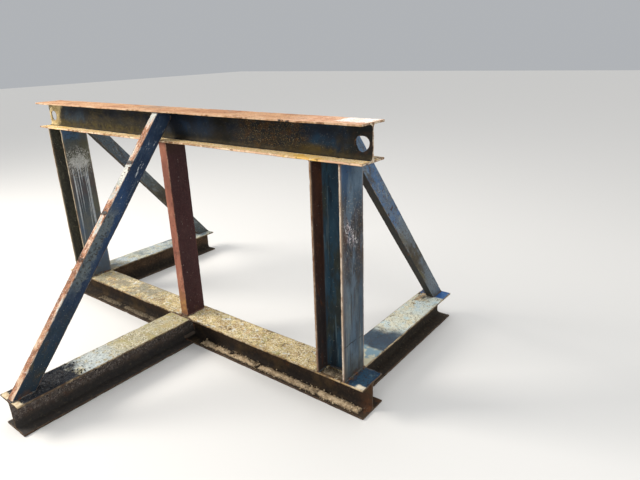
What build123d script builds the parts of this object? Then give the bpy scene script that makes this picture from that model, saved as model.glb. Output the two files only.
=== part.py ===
"""Welded steel girder trestle, built from rolled sections, real size in mm.

Axes: X runs along the top girder, -Y is the side with the single front leg,
+Y is the side with the two back legs, +Z is up.  The origin is on the floor,
under the middle of the girder.
"""
import math
import os

from build123d import *

os.makedirs("parts", exist_ok=True)

# ---------------------------------------------------------------- dimensions
# broad-flange section used for the girder, the columns and the floor frame
H_DEPTH = 152.0      # over the flanges
H_WIDTH = 160.0      # flange width
H_WEB = 6.0          # web thickness
H_FLANGE = 9.0       # flange thickness
H_ROOT = 15.0        # root radius between web and flange

# channel used for the three braces
BR_DEPTH = 80.0
BR_WIDTH = 45.0
BR_WEB = 6.0
BR_FLANGE = 8.0
BR_ROOT = 8.0
BR_TOE = 4.0

# channel used for the middle post
PO_DEPTH = 120.0
PO_WIDTH = 55.0
PO_WEB = 7.0
PO_FLANGE = 9.0
PO_ROOT = 9.0
PO_TOE = 4.5

LENGTH = 2400.0          # top girder and base beam
COLUMN_HEIGHT = 968.0    # between base beam and top girder
COLUMN_X = 1027.0        # centre of each column from the middle
FRONT_LEG_X = -8.0       # centre of the front outrigger
RIGHT_LEG_X = 1030.0     # centre of the right back outrigger
LEFT_LEG_X = -1034.0     # centre of the left back outrigger
LEG_END_Y = 1005.0       # reach of every outrigger from the girder line
BRACE_FOOT_Y = 1003.0    # outer face of a brace at the outrigger's top face
BRACE_TOP_Y = 75.0       # outer face of a brace under the girder's top flange
FRONT_BRACE_X = 0.0      # centre of the front brace
HOLE_RADIUS = 32.0       # lifting hole in the girder's web, near each end
HOLE_FROM_END = 48.0
HOLE_ABOVE_SOFFIT = 68.0

# ------------------------------------------------------------ derived levels
BASE_TOP = H_DEPTH
GIRDER_BOTTOM = BASE_TOP + COLUMN_HEIGHT
GIRDER_TOP = GIRDER_BOTTOM + H_DEPTH
TOP_FLANGE_SOFFIT = GIRDER_TOP - H_FLANGE
HALF_WEB = H_WEB / 2
HALF_WIDTH = H_WIDTH / 2


# ------------------------------------------------------------------ profiles
def h_profile():
    """Broad-flange section: depth along local Y, flanges along local X."""
    half_d = H_DEPTH / 2
    inner = half_d - H_FLANGE
    with BuildSketch() as sk:
        with BuildLine():
            Polyline(
                (-HALF_WIDTH, -half_d), (HALF_WIDTH, -half_d),
                (HALF_WIDTH, -inner), (HALF_WEB, -inner),
                (HALF_WEB, inner), (HALF_WIDTH, inner),
                (HALF_WIDTH, half_d), (-HALF_WIDTH, half_d),
                (-HALF_WIDTH, inner), (-HALF_WEB, inner),
                (-HALF_WEB, -inner), (-HALF_WIDTH, -inner),
                close=True,
            )
        make_face()
        roots = [
            v for v in sk.vertices()
            if abs(abs(v.X) - HALF_WEB) < 1e-6 and abs(abs(v.Y) - inner) < 1e-6
        ]
        fillet(roots, H_ROOT)
    return sk.sketch


def channel_profile(depth, width, web, flange, root, toe):
    """Channel: back at local +X, flanges towards -X, depth along local Y."""
    half_d = depth / 2
    half_w = width / 2
    inner_x = half_w - web
    inner_y = half_d - flange
    with BuildSketch() as sk:
        with BuildLine():
            Polyline(
                (half_w, -half_d), (half_w, half_d),
                (-half_w, half_d), (-half_w, inner_y),
                (inner_x, inner_y), (inner_x, -inner_y),
                (-half_w, -inner_y), (-half_w, -half_d),
                close=True,
            )
        make_face()
        roots = [
            v for v in sk.vertices()
            if abs(v.X - inner_x) < 1e-6 and abs(abs(v.Y) - inner_y) < 1e-6
        ]
        fillet(roots, root)
        toes = [
            v for v in sk.vertices()
            if abs(v.X + half_w) < 1e-6 and abs(abs(v.Y) - inner_y) < 1e-6
        ]
        fillet(toes, toe)
    return sk.sketch


def box_between(x0, x1, y0, y1, z0, z1):
    return Pos((x0 + x1) / 2, (y0 + y1) / 2, (z0 + z1) / 2) * Box(
        x1 - x0, y1 - y0, z1 - z0)


# ------------------------------------------------------------------- members
def beam_along_x(length, z_mid):
    """Flanges level, web upright, running along X."""
    frame = Plane(origin=(-length / 2, 0, z_mid), x_dir=(0, 1, 0), z_dir=(1, 0, 0))
    return extrude(frame * h_profile(), amount=length)


def column(x_mid):
    """Flanges face the two ends of the trestle, web in the girder's plane."""
    frame = Plane(origin=(x_mid, 0, BASE_TOP), x_dir=(0, 1, 0), z_dir=(0, 0, 1))
    return extrude(frame * h_profile(), amount=COLUMN_HEIGHT)


def outrigger(x_mid, side):
    """Beam on the floor from the base beam's flange edge to the leg's end.

    Its web runs on between the base beam's flanges up to the base beam's web.
    """
    length = LEG_END_Y - HALF_WIDTH
    if side > 0:
        frame = Plane(origin=(x_mid, HALF_WIDTH, H_DEPTH / 2),
                      x_dir=(1, 0, 0), z_dir=(0, 1, 0))
    else:
        frame = Plane(origin=(x_mid, -LEG_END_Y, H_DEPTH / 2),
                      x_dir=(1, 0, 0), z_dir=(0, 1, 0))
    beam = extrude(frame * h_profile(), amount=length)
    tongue_low = H_FLANGE + H_ROOT
    tongue_high = H_DEPTH - H_FLANGE - H_ROOT
    y_a, y_b = sorted((side * HALF_WEB, side * HALF_WIDTH))
    tongue = box_between(x_mid - HALF_WEB, x_mid + HALF_WEB, y_a, y_b,
                         tongue_low, tongue_high)
    return (beam + tongue).solid()


def brace(x_mid, side):
    """Channel from an outrigger's end up between the girder's flanges.

    The back of the channel faces +X.  The foot is cut level on the
    outrigger, the head is cut against the girder's web and top flange.
    """
    foot = Vector(0, BRACE_FOOT_Y, BASE_TOP)
    head = Vector(0, BRACE_TOP_Y, TOP_FLANGE_SOFFIT)
    along = (head - foot).normalized()
    inward = Vector(0, -along.Z, along.Y)          # from outer face to inner face
    start = foot + inward * (BR_DEPTH / 2) - along * 200.0
    length = (head - foot).length + 400.0
    frame = Plane(origin=(0, start.Y, start.Z), x_dir=(1, 0, 0),
                  z_dir=(0, along.Y, along.Z))
    bar = extrude(
        frame * channel_profile(BR_DEPTH, BR_WIDTH, BR_WEB, BR_FLANGE, BR_ROOT, BR_TOE),
        amount=length)
    far = 2000.0
    bar -= box_between(-far, far, -far, far, -far, BASE_TOP)
    bar -= box_between(-far, far, -far, far, TOP_FLANGE_SOFFIT, far)
    bar -= box_between(-far, far, -far, HALF_WEB, -far, far)
    # corner taken off so that the head clears the girder's root radius
    with BuildPart() as corner:
        with BuildSketch(Plane.YZ.offset(-100)):
            with BuildLine():
                Polyline(
                    (HALF_WEB - 1, TOP_FLANGE_SOFFIT - H_ROOT - 1),
                    (HALF_WEB + H_ROOT + 1, TOP_FLANGE_SOFFIT + 1),
                    (HALF_WEB - 1, TOP_FLANGE_SOFFIT + 1),
                    close=True,
                )
            make_face()
        extrude(amount=200)
    bar -= corner.part
    bar = bar.solid()
    if side < 0:
        bar = mirror(bar, about=Plane.XZ)
    return Pos(x_mid, 0, 0) * bar


# ---------------------------------------------------------------- the pieces
girder = beam_along_x(LENGTH, GIRDER_BOTTOM + H_DEPTH / 2)
for end in (-1, 1):
    hole_x = end * (LENGTH / 2 - HOLE_FROM_END)
    drill = Pos(hole_x, 0, GIRDER_BOTTOM + HOLE_ABOVE_SOFFIT) * (
        Rot(90, 0, 0) * Cylinder(HOLE_RADIUS, H_WEB + 10))
    girder -= drill

post_frame = Plane(origin=(0, 0, BASE_TOP), x_dir=(1, 0, 0), z_dir=(0, 0, 1))
post = extrude(
    post_frame * channel_profile(PO_DEPTH, PO_WIDTH, PO_WEB, PO_FLANGE, PO_ROOT, PO_TOE),
    amount=COLUMN_HEIGHT)

pieces = {
    "top_girder": girder.solid(),
    "right_column": column(COLUMN_X).solid(),
    "left_column": column(-COLUMN_X).solid(),
    "middle_post": post.solid(),
    "base_beam": beam_along_x(LENGTH, H_DEPTH / 2).solid(),
    "front_outrigger": outrigger(FRONT_LEG_X, -1),
    "right_back_outrigger": outrigger(RIGHT_LEG_X, 1),
    "left_back_outrigger": outrigger(LEFT_LEG_X, 1),
    "front_brace": brace(FRONT_BRACE_X, -1),
    "right_back_brace": brace(RIGHT_LEG_X, 1),
    "left_back_brace": brace(LEFT_LEG_X, 1),
}

for name, shape in pieces.items():
    export_step(shape, "parts/" + name + ".step")
    box = shape.bounding_box()
    print(name, "valid", shape.is_valid, "volume", round(shape.volume, 1),
          "x", round(box.min.X, 1), round(box.max.X, 1),
          "y", round(box.min.Y, 1), round(box.max.Y, 1),
          "z", round(box.min.Z, 1), round(box.max.Z, 1))
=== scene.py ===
import math

import bmesh
import bpy
import numpy as np
from mathutils import Matrix, Vector


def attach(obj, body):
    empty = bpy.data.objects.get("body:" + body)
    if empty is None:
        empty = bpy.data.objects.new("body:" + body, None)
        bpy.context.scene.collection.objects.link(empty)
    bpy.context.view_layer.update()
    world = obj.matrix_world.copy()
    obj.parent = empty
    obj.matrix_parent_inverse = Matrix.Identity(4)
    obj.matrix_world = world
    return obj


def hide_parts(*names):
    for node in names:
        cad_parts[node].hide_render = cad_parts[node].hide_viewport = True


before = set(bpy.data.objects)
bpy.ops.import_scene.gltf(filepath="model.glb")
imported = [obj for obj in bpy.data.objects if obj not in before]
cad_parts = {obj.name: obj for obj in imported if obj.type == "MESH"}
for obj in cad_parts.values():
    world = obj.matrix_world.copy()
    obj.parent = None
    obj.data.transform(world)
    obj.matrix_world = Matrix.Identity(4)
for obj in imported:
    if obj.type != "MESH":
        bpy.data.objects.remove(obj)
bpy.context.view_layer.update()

# ------------------------------------------------------------------ real sizes, metres
H_DEPTH, H_WIDTH, H_WEB, H_FLANGE, H_ROOT = 0.152, 0.160, 0.006, 0.009, 0.015
BR = dict(depth=0.080, width=0.045, web=0.006, flange=0.008, root=0.008, toe=0.004)
PO = dict(depth=0.120, width=0.055, web=0.007, flange=0.009, root=0.009, toe=0.0045)
LENGTH = 2.400
BASE_TOP = 0.152
GIRDER_BOTTOM = 1.120
GIRDER_TOP = 1.272
SOFFIT = 1.263
COLUMN_X = 1.027
FRONT_LEG_X, RIGHT_LEG_X, LEFT_LEG_X = -0.008, 1.030, -1.034
LEG_END_Y = 1.005
BRACE_FOOT_Y, BRACE_TOP_Y = 1.003, 0.075
HOLE_X, HOLE_Z, HOLE_R = 1.152, 1.188, 0.032
SCARS = (1.168, 0.899, 0.663)          # weld scars across the front brace, metres up from its foot


# ------------------------------------------------------------------ noise in numpy
def _hash(ix, iy, iz, seed):
    h = (ix.astype(np.int64) * 374761393 + iy.astype(np.int64) * 668265263
         + iz.astype(np.int64) * 2147483647 + seed * 1274126177) & 0xFFFFFFFF
    h = ((h ^ (h >> 13)) * 1274126177) & 0xFFFFFFFF
    h = (h ^ (h >> 16)) & 0xFFFFFFFF
    return h / 4294967295.0


def vnoise(p, seed=0):
    f = np.floor(p)
    t = p - f
    t = t * t * (3 - 2 * t)
    out = np.zeros(len(p))
    for dx in (0, 1):
        wx = t[:, 0] if dx else 1 - t[:, 0]
        for dy in (0, 1):
            wy = t[:, 1] if dy else 1 - t[:, 1]
            for dz in (0, 1):
                wz = t[:, 2] if dz else 1 - t[:, 2]
                out += wx * wy * wz * _hash(f[:, 0] + dx, f[:, 1] + dy, f[:, 2] + dz, seed)
    return out


def fbm(p, scale, octaves=3, seed=0):
    p = np.asarray(p, float) * scale
    out, amp, total = np.zeros(len(p)), 1.0, 0.0
    for k in range(octaves):
        out += amp * vnoise(p + 17.3 * k, seed + k)
        total += amp
        amp *= 0.5
        p = p * 2.03
    return out / total


def smooth(x, lo, hi):
    t = np.clip((x - lo) / (hi - lo), 0, 1)
    return t * t * (3 - 2 * t)


# ------------------------------------------------------------------ section outlines
def ring_of(corners, radii, arc=2, step=0.010):
    """Closed outline with rounded corners, its points no further apart than step."""
    n = len(corners)
    arcs = []
    for i in range(n):
        p = np.array(corners[i], float)
        a, b = np.array(corners[i - 1], float), np.array(corners[(i + 1) % n], float)
        da, db = (a - p) / np.linalg.norm(a - p), (b - p) / np.linalg.norm(b - p)
        ang = math.acos(float(np.clip(da @ db, -1, 1)))
        r = radii[i]
        cut = r / math.tan(ang / 2)
        bis = (da + db) / np.linalg.norm(da + db)
        c = p + bis * (r / math.sin(ang / 2))
        s, e = p + da * cut - c, p + db * cut - c
        a0, a1 = math.atan2(s[1], s[0]), math.atan2(e[1], e[0])
        d = (a1 - a0 + math.pi) % (2 * math.pi) - math.pi
        k = arc if r < 0.004 else 5
        arcs.append([c + r * np.array([math.cos(a0 + d * j / k), math.sin(a0 + d * j / k)])
                     for j in range(k + 1)])
    ring = []
    for i in range(n):
        ring.extend(arcs[i])
        s, e = arcs[i][-1], arcs[(i + 1) % n][0]
        m = max(1, int(math.ceil(np.linalg.norm(e - s) / step)))
        ring.extend([s + (e - s) * j / m for j in range(1, m)])
    return np.array(ring)


def h_ring():
    w, d, t = H_WIDTH / 2, H_DEPTH / 2, H_WEB / 2
    q = d - H_FLANGE
    pts = [(-w, -d), (w, -d), (w, -q), (t, -q), (t, q), (w, q),
           (w, d), (-w, d), (-w, q), (-t, q), (-t, -q), (-w, -q)]
    rad = [H_ROOT if abs(abs(x) - t) < 1e-9 else 0.0018 for x, y in pts]
    return ring_of(pts, rad)


def c_ring(depth, width, web, flange, root, toe):
    d, w = depth / 2, width / 2
    ix, iy = w - web, d - flange
    pts = [(w, -d), (w, d), (-w, d), (-w, iy), (ix, iy), (ix, -iy), (-w, -iy), (-w, -d)]
    rad = []
    for x, y in pts:
        if abs(x - ix) < 1e-9:
            rad.append(root)
        elif abs(x + w) < 1e-9 and abs(abs(y) - iy) < 1e-9:
            rad.append(toe * 0.98)
        else:
            rad.append(0.0022)
    return ring_of(pts, rad, step=0.008)


def inset(ring, amount):
    nxt, prv = np.roll(ring, -1, 0), np.roll(ring, 1, 0)
    t = nxt - prv
    t /= np.maximum(np.linalg.norm(t, axis=1, keepdims=True), 1e-9)
    area = 0.5 * np.sum(ring[:, 0] * nxt[:, 1] - nxt[:, 0] * ring[:, 1])
    inward = np.stack([-t[:, 1], t[:, 0]], 1) * (1 if area > 0 else -1)
    return ring + inward * amount


def stations(length, step, trim=0.0015):
    inner = np.linspace(0, length, max(3, int(round(length / step)) + 1))[1:-1]
    inner = inner[(inner > 2.5 * trim) & (inner < length - 2.5 * trim)]
    return np.concatenate([[0, trim], inner, [length - trim, length]])


# ------------------------------------------------------------------ mesh helpers
def mesh_object(name, verts, faces):
    me = bpy.data.meshes.new(name)
    me.from_pydata([tuple(v) for v in verts], [], faces)
    me.update()
    ob = bpy.data.objects.new(name, me)
    bpy.context.scene.collection.objects.link(ob)
    return ob


def coords(me):
    co = np.zeros(len(me.vertices) * 3)
    me.vertices.foreach_get("co", co)
    return co.reshape(-1, 3)


def set_coords(me, co):
    me.vertices.foreach_set("co", np.asarray(co, float).ravel())
    me.update()


def normals(me):
    no = np.zeros(len(me.vertices) * 3, np.float32)
    me.vertex_normals.foreach_get("vector", no)
    return no.reshape(-1, 3).astype(float)


def attribute(me, name, values, kind="FLOAT"):
    a = me.attributes.new(name, kind, "POINT")
    a.data.foreach_set("value" if kind == "FLOAT" else "vector",
                       np.asarray(values, np.float32).ravel())


def smooth_all(ob):
    ob.data.polygons.foreach_set("use_smooth", [True] * len(ob.data.polygons))
    mod = ob.modifiers.new("even_normals", "WEIGHTED_NORMAL")
    mod.mode = "FACE_AREA"
    mod.weight = 100
    mod.keep_sharp = False


def swept(name, ring, origin, U, V, S, length, step=0.010):
    """A rolled bar: the outline carried along S, its sawn ends with a small broken edge."""
    st = stations(length, step)
    small = inset(ring, 0.0013)
    n, m = len(ring), len(st)
    verts = []
    for i, s in enumerate(st):
        r = small if i in (0, m - 1) else ring
        verts.append(origin + r[:, :1] * U + r[:, 1:] * V + s * S)
    verts = np.concatenate(verts)
    faces = []
    for i in range(m - 1):
        for j in range(n):
            k = (j + 1) % n
            faces.append((i * n + j, i * n + k, (i + 1) * n + k, (i + 1) * n + j))
    faces.append(tuple(reversed(range(n))))
    faces.append(tuple(range((m - 1) * n, m * n)))
    ob = mesh_object(name, verts, faces)
    bm = bmesh.new()
    bm.from_mesh(ob.data)
    bmesh.ops.recalc_face_normals(bm, faces=bm.faces)
    bm.to_mesh(ob.data)
    bm.free()
    return ob


def cut(ob, point, normal):
    """Takes off what lies on the normal's side of a plane, and closes the cut."""
    bm = bmesh.new()
    bm.from_mesh(ob.data)
    res = bmesh.ops.bisect_plane(bm, geom=bm.verts[:] + bm.edges[:] + bm.faces[:],
                                 plane_co=point, plane_no=normal, clear_outer=True)
    edges = [e for e in res["geom_cut"] if isinstance(e, bmesh.types.BMEdge)]
    if edges:
        made = bmesh.ops.edgeloop_fill(bm, edges=edges)["faces"]
        bmesh.ops.recalc_face_normals(bm, faces=bm.faces)
    bm.to_mesh(ob.data)
    bm.free()


def drill(ob, cutter):
    """A boolean cut whose result is written into the mesh."""
    mod = ob.modifiers.new("hole", "BOOLEAN")
    mod.operation = "DIFFERENCE"
    mod.solver = "EXACT"
    mod.object = cutter
    dg = bpy.context.evaluated_depsgraph_get()
    me = bpy.data.meshes.new_from_object(ob.evaluated_get(dg))
    ob.modifiers.remove(mod)
    old = ob.data
    ob.data = me
    bpy.data.meshes.remove(old)
    bpy.data.objects.remove(cutter)


# ------------------------------------------------------------------ zones of a section
def h_zones(u, v):
    w, d = H_WIDTH / 2, H_DEPTH / 2
    q = d - H_FLANGE
    au, av = np.abs(u), np.abs(v)
    outer = smooth(av, d - 0.0022, d - 0.0009)
    tip = smooth(au, w - 0.0024, w - 0.0011) * (1 - outer * 0.5)
    web = smooth(-au, -(H_WEB / 2 + H_ROOT * 0.8), -(H_WEB / 2 + H_ROOT * 0.35)) * (av < q - 0.001)
    inner = np.clip(1 - outer - tip - web, 0, 1)
    corner = np.minimum(np.hypot(au - w, av - d), np.hypot(au - w, av - q))
    return dict(oa=outer * (v > 0), ob=outer * (v < 0), ia=inner * (v > 0), ib=inner * (v < 0),
                wb=web, tp=tip), corner


def c_zones(u, v, width, depth, web, flange, root, toe):
    w, d = width / 2, depth / 2
    back = smooth(u, w - 0.0024, w - 0.0012)
    up = smooth(v, d - 0.0024, d - 0.0012) * (1 - back)
    down = smooth(-v, d - 0.0024, d - 0.0012) * (1 - back)
    tip = smooth(-u, w - toe, w - toe * 0.5)
    inside = np.clip(1 - back - up - down - tip, 0, 1)
    corner = np.minimum(np.hypot(u - w, np.abs(v) - d), np.hypot(u + w, np.abs(v) - d))
    return dict(oa=back, ob=up, ia=down, ib=inside, wb=inside, tp=tip), corner


def finish_member(ob, origin, U, V, S, zones, length, seed, ends=True, dent=1.0, extra=None):
    """Section coordinates and zones for the paint, then the small unevenness of old steel."""
    me = ob.data
    co = coords(me)
    rel = co - origin
    u, v, s = rel @ U, rel @ V, rel @ S
    z, corner = zones(u, v)
    for k, val in z.items():
        attribute(me, k, val)
    far = np.minimum(s, length - s) if ends else np.full(len(s), 1.0)
    if extra is not None:
        far = np.minimum(far, extra(co))
    edge = np.maximum(np.exp(-corner / 0.0055), np.exp(-np.abs(far) / 0.0055))
    attribute(me, "ed", edge)
    attribute(me, "en", np.exp(-np.abs(far) / 0.05))
    attribute(me, "sec", np.stack([u, v, s], 1), "FLOAT_VECTOR")
    no = normals(me)
    # long soft waves of a beam that has carried loads, in the section's own plane
    wave = (fbm(np.stack([s * 2.2, s * 0, s * 0], 1), 1.0, 2, seed + 5) - 0.5)
    tip = np.exp(-corner / 0.02)
    bend = dent * 0.0024 * (fbm(np.stack([s * 7.0, np.sign(u) * 3, np.sign(v) * 5], 1), 1.0, 2, seed + 9) - 0.5) * tip
    co = co + V * bend[:, None] + U * (0.0012 * dent * wave)[:, None]
    # thickness lost to rust, and a few nicks in the flange edges
    pit = fbm(co, 55.0, 3, seed)
    co = co - no * (0.0009 * smooth(pit, 0.52, 0.72))[:, None]
    co = co + no * (0.0006 * (fbm(co, 130.0, 2, seed + 3) - 0.5))[:, None]
    nick = smooth(fbm(np.stack([s * 16.0, np.sign(u) * 7, np.sign(v) * 11], 1), 1.0, 2, seed + 21), 0.80, 0.90)
    co = co - np.sign(u)[:, None] * U * (0.0045 * dent * nick * np.exp(-corner / 0.004))[:, None]
    set_coords(me, co)
    smooth_all(ob)
    return ob


# ------------------------------------------------------------------ materials
def lin(r, g, b):
    def f(c):
        c /= 255.0
        return c / 12.92 if c <= 0.04045 else ((c + 0.055) / 1.055) ** 2.4
    return (f(r), f(g), f(b), 1.0)


NAVY, INK, DEEP = lin(31, 46, 68), lin(20, 30, 44), lin(36, 66, 104)
BLUE, STEELBLUE, GREYBLUE = lin(60, 98, 148), lin(84, 112, 146), lin(104, 120, 134)
TEAL, PALECYAN, CYAN = lin(30, 58, 72), lin(186, 206, 204), lin(128, 168, 184)
OLIVE, OLIVEDARK, OLIVEGOLD = lin(92, 84, 50), lin(58, 54, 38), lin(122, 104, 50)
BROWN, UMBER, BARK = lin(84, 58, 42), lin(56, 39, 30), lin(40, 29, 24)
RUSTDARK, RUST, RUSTORANGE = lin(74, 40, 26), lin(132, 72, 40), lin(184, 104, 58)
RUSTTAN, PINKTAN, PINKCREAM = lin(198, 142, 106), lin(206, 158, 130), lin(226, 198, 172)
CREAM, OCHRE, MUSTARD = lin(222, 206, 160), lin(206, 166, 86), lin(176, 140, 58)
LICHEN, LICHENGREEN, LICHENGREY = lin(192, 184, 116), lin(150, 152, 92), lin(196, 196, 180)
SOIL, SOILDARK, SAND = lin(88, 72, 55), lin(44, 38, 32), lin(158, 138, 110)
CHIP, BONE = lin(206, 206, 200), lin(188, 182, 166)
OXIDE, OXIDEDARK, SALMON = lin(98, 42, 38), lin(66, 32, 30), lin(190, 112, 82)


class Paint:
    """Builds one node material as a stack of layers, each with colour, roughness and height."""

    def __init__(self, name, specular=0.35):
        self.m = bpy.data.materials.new(name)
        self.m.use_nodes = True
        self.t = self.m.node_tree
        self.t.nodes.clear()
        self.out = self.t.nodes.new("ShaderNodeOutputMaterial")
        self.b = self.t.nodes.new("ShaderNodeBsdfPrincipled")
        self.b.inputs["Specular IOR Level"].default_value = specular
        self.t.links.new(self.b.outputs["BSDF"], self.out.inputs["Surface"])
        self.tc = self.t.nodes.new("ShaderNodeTexCoord")
        self.P = self.tc.outputs["Object"]
        self.cache = {}
        self.col = self.rgh = self.hgt = None

    def put(self, socket, value):
        if isinstance(value, (int, float)):
            socket.default_value = value
        elif isinstance(value, tuple):
            socket.default_value = value if len(socket.default_value) == len(value) else value[:len(socket.default_value)]
        else:
            self.t.links.new(value, socket)

    def math(self, op, a, b=0.0, c=0.0, clamp=False):
        n = self.t.nodes.new("ShaderNodeMath")
        n.operation = op
        n.use_clamp = clamp
        self.put(n.inputs[0], a)
        self.put(n.inputs[1], b)
        if op in ("MULTIPLY_ADD",):
            self.put(n.inputs[2], c)
        return n.outputs[0]

    def mul(self, *xs):
        out = xs[0]
        for x in xs[1:]:
            out = self.math("MULTIPLY", out, x)
        return out

    def add(self, *xs):
        out = xs[0]
        for x in xs[1:]:
            out = self.math("ADD", out, x)
        return out

    def top(self, *xs):
        out = xs[0]
        for x in xs[1:]:
            out = self.math("MAXIMUM", out, x)
        return out

    def inv(self, x):
        return self.math("SUBTRACT", 1.0, x, clamp=True)

    def ramp(self, x, lo, hi):
        n = self.t.nodes.new("ShaderNodeMapRange")
        n.interpolation_type = "SMOOTHSTEP"
        self.put(n.inputs["Value"], x)
        up = lo < hi
        n.inputs["From Min"].default_value = lo if up else hi
        n.inputs["From Max"].default_value = hi if up else lo
        n.inputs["To Min"].default_value = 0.0 if up else 1.0
        n.inputs["To Max"].default_value = 1.0 if up else 0.0
        return n.outputs["Result"]

    def attr(self, name):
        if name not in self.cache:
            n = self.t.nodes.new("ShaderNodeAttribute")
            n.attribute_name = name
            self.cache[name] = n
        return self.cache[name].outputs["Fac"]

    def sec(self):
        if "sec" not in self.cache:
            n = self.t.nodes.new("ShaderNodeAttribute")
            n.attribute_name = "sec"
            self.cache["sec"] = n
        return self.cache["sec"].outputs["Vector"]

    def axis(self, vec, i):
        key = ("axis", vec.node.name, vec.name)
        if key not in self.cache:
            n = self.t.nodes.new("ShaderNodeSeparateXYZ")
            self.t.links.new(vec, n.inputs[0])
            self.cache[key] = n
        return self.cache[key].outputs[i]

    @property
    def x(self):
        return self.axis(self.P, 0)

    @property
    def y(self):
        return self.axis(self.P, 1)

    @property
    def z(self):
        return self.axis(self.P, 2)

    @property
    def up(self):
        """How far the face looks up."""
        if "geo" not in self.cache:
            self.cache["geo"] = self.t.nodes.new("ShaderNodeNewGeometry")
        return self.axis(self.cache["geo"].outputs["Normal"], 2)

    def vec(self, base, scale, shift=(0, 0, 0)):
        n = self.t.nodes.new("ShaderNodeMapping")
        self.put(n.inputs["Vector"], base)
        n.inputs["Scale"].default_value = scale
        n.inputs["Location"].default_value = shift
        return n.outputs["Vector"]

    def noise(self, scale, detail=3.0, rough=0.6, base=None, stretch=(1, 1, 1), seed=0, warp=0.0):
        n = self.t.nodes.new("ShaderNodeTexNoise")
        n.noise_dimensions = "3D"
        base = self.P if base is None else base
        v = self.vec(base, stretch, (seed * 3.17, seed * 1.31, seed * 2.23)) if (seed or stretch != (1, 1, 1)) else base
        self.put(n.inputs["Vector"], v)
        n.inputs["Scale"].default_value = scale
        n.inputs["Detail"].default_value = detail
        n.inputs["Roughness"].default_value = rough
        n.inputs["Distortion"].default_value = warp
        return n.outputs["Fac"]

    def cells(self, scale, feature="F1", seed=0, base=None, smoothness=0.0, random=1.0):
        n = self.t.nodes.new("ShaderNodeTexVoronoi")
        n.feature = feature
        base = self.P if base is None else base
        self.put(n.inputs["Vector"], self.vec(base, (1, 1, 1), (seed * 2.9, seed * 4.1, seed * 1.7)) if seed else base)
        n.inputs["Scale"].default_value = scale
        n.inputs["Randomness"].default_value = random
        return n.outputs["Distance"]

    def mixc(self, fac, a, b):
        n = self.t.nodes.new("ShaderNodeMix")
        n.data_type = "RGBA"
        n.clamp_factor = True
        self.put(n.inputs["Factor"], fac)
        self.put(n.inputs[6], a)
        self.put(n.inputs[7], b)
        return n.outputs[2]

    def mixf(self, fac, a, b):
        n = self.t.nodes.new("ShaderNodeMix")
        n.data_type = "FLOAT"
        n.clamp_factor = True
        self.put(n.inputs["Factor"], fac)
        self.put(n.inputs[2], a)
        self.put(n.inputs[3], b)
        return n.outputs[0]

    def base(self, colour, rough, height=0.0):
        self.col, self.rgh, self.hgt = colour, rough, height

    def layer(self, mask, colour, rough=None, height=0.0):
        """Lays a colour over what is there, where the mask says, height in millimetres."""
        self.col = self.mixc(mask, self.col, colour)
        if rough is not None:
            self.rgh = self.mixf(mask, self.rgh, rough)
        if height:
            self.hgt = self.math("MULTIPLY_ADD", mask, height * 0.001, self.hgt)

    def done(self, strength=1.0):
        self.put(self.b.inputs["Base Color"], self.col)
        self.put(self.b.inputs["Roughness"], self.rgh)
        n = self.t.nodes.new("ShaderNodeBump")
        n.inputs["Strength"].default_value = strength
        n.inputs["Distance"].default_value = 1.0
        self.put(n.inputs["Height"], self.hgt)
        self.t.links.new(n.outputs["Normal"], self.b.inputs["Normal"])
        return self.m

    # ---------------- recurring looks
    def two(self, a, b, scale, lo=0.38, hi=0.62, **kw):
        return self.mixc(self.ramp(self.noise(scale, **kw), lo, hi), a, b)

    def rust_colour(self, seed=0, bright=0.5):
        a = self.two(RUSTDARK, lin(108, 66, 42), 38, detail=5, seed=seed + 1)
        return self.mixc(self.mul(self.ramp(self.noise(24, 5, seed=seed + 2), 0.52, 0.72), bright), a, lin(156, 98, 62))

    def spots(self, scale, size, where, seed=0, ragged=0.35):
        """Round-ish small marks, where the second mask lets them."""
        d = self.cells(scale, seed=seed)
        d = self.math("MULTIPLY_ADD", self.noise(scale * 3.1, 2, seed=seed + 4), ragged, d)
        return self.mul(self.ramp(d, size + ragged * 0.5 + 0.05, size + ragged * 0.5 - 0.05), where)

    def box(self, x=None, y=None, z=None, soft=0.03, warp=0.0, seed=0):
        """A soft region in the part's own coordinates, its outline broken up by noise."""
        out = None
        shift = self.math("MULTIPLY_ADD", self.noise(14, 4, seed=seed + 31), warp * 2, -warp) if warp else None
        for s, lim in ((self.x, x), (self.y, y), (self.z, z)):
            if lim is None:
                continue
            c = self.add(s, shift) if shift is not None else s
            lo, hi = lim
            if lo is not None:
                m = self.ramp(c, lo - soft, lo + soft)
                out = m if out is None else self.mul(out, m)
            if hi is not None:
                m = self.ramp(c, hi + soft, hi - soft)
                out = m if out is None else self.mul(out, m)
        return out


def grain(p, fine=0.10):
    """Fine unevenness that every painted or rusty surface has, in millimetres of height."""
    a = p.noise(420, 3, seed=3)
    b = p.noise(90, 3, seed=7)
    p.hgt = p.math("MULTIPLY_ADD", a, fine * 0.001, p.hgt if p.hgt is not None else 0.0)
    p.hgt = p.math("MULTIPLY_ADD", b, fine * 0.0022, p.hgt)


def cloud(p, where, colour, scale, lo=0.48, hi=0.62, strength=1.0, stretch=(1, 1, 1), seed=0, rough=None,
          height=0.0, detail=6, base=None):
    """A patchy tone with soft, crumbly borders."""
    m = p.mul(p.ramp(p.noise(scale, detail, rough=0.68, stretch=stretch, seed=seed, base=base), lo, hi), where)
    if strength != 1.0:
        m = p.mul(m, strength)
    p.layer(m, colour, rough, height)
    return m


def pricks(p, where, colour, scale=300, lo=0.63, hi=0.68, seed=0, stretch=(1, 1, 1), rough=0.9, height=0.08, base=None):
    """Specks of a few millimetres."""
    m = p.mul(p.ramp(p.noise(scale, 2, rough=0.55, seed=seed + 151, stretch=stretch, base=base), lo, hi), where)
    p.layer(m, colour, rough, height)
    return m


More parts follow.
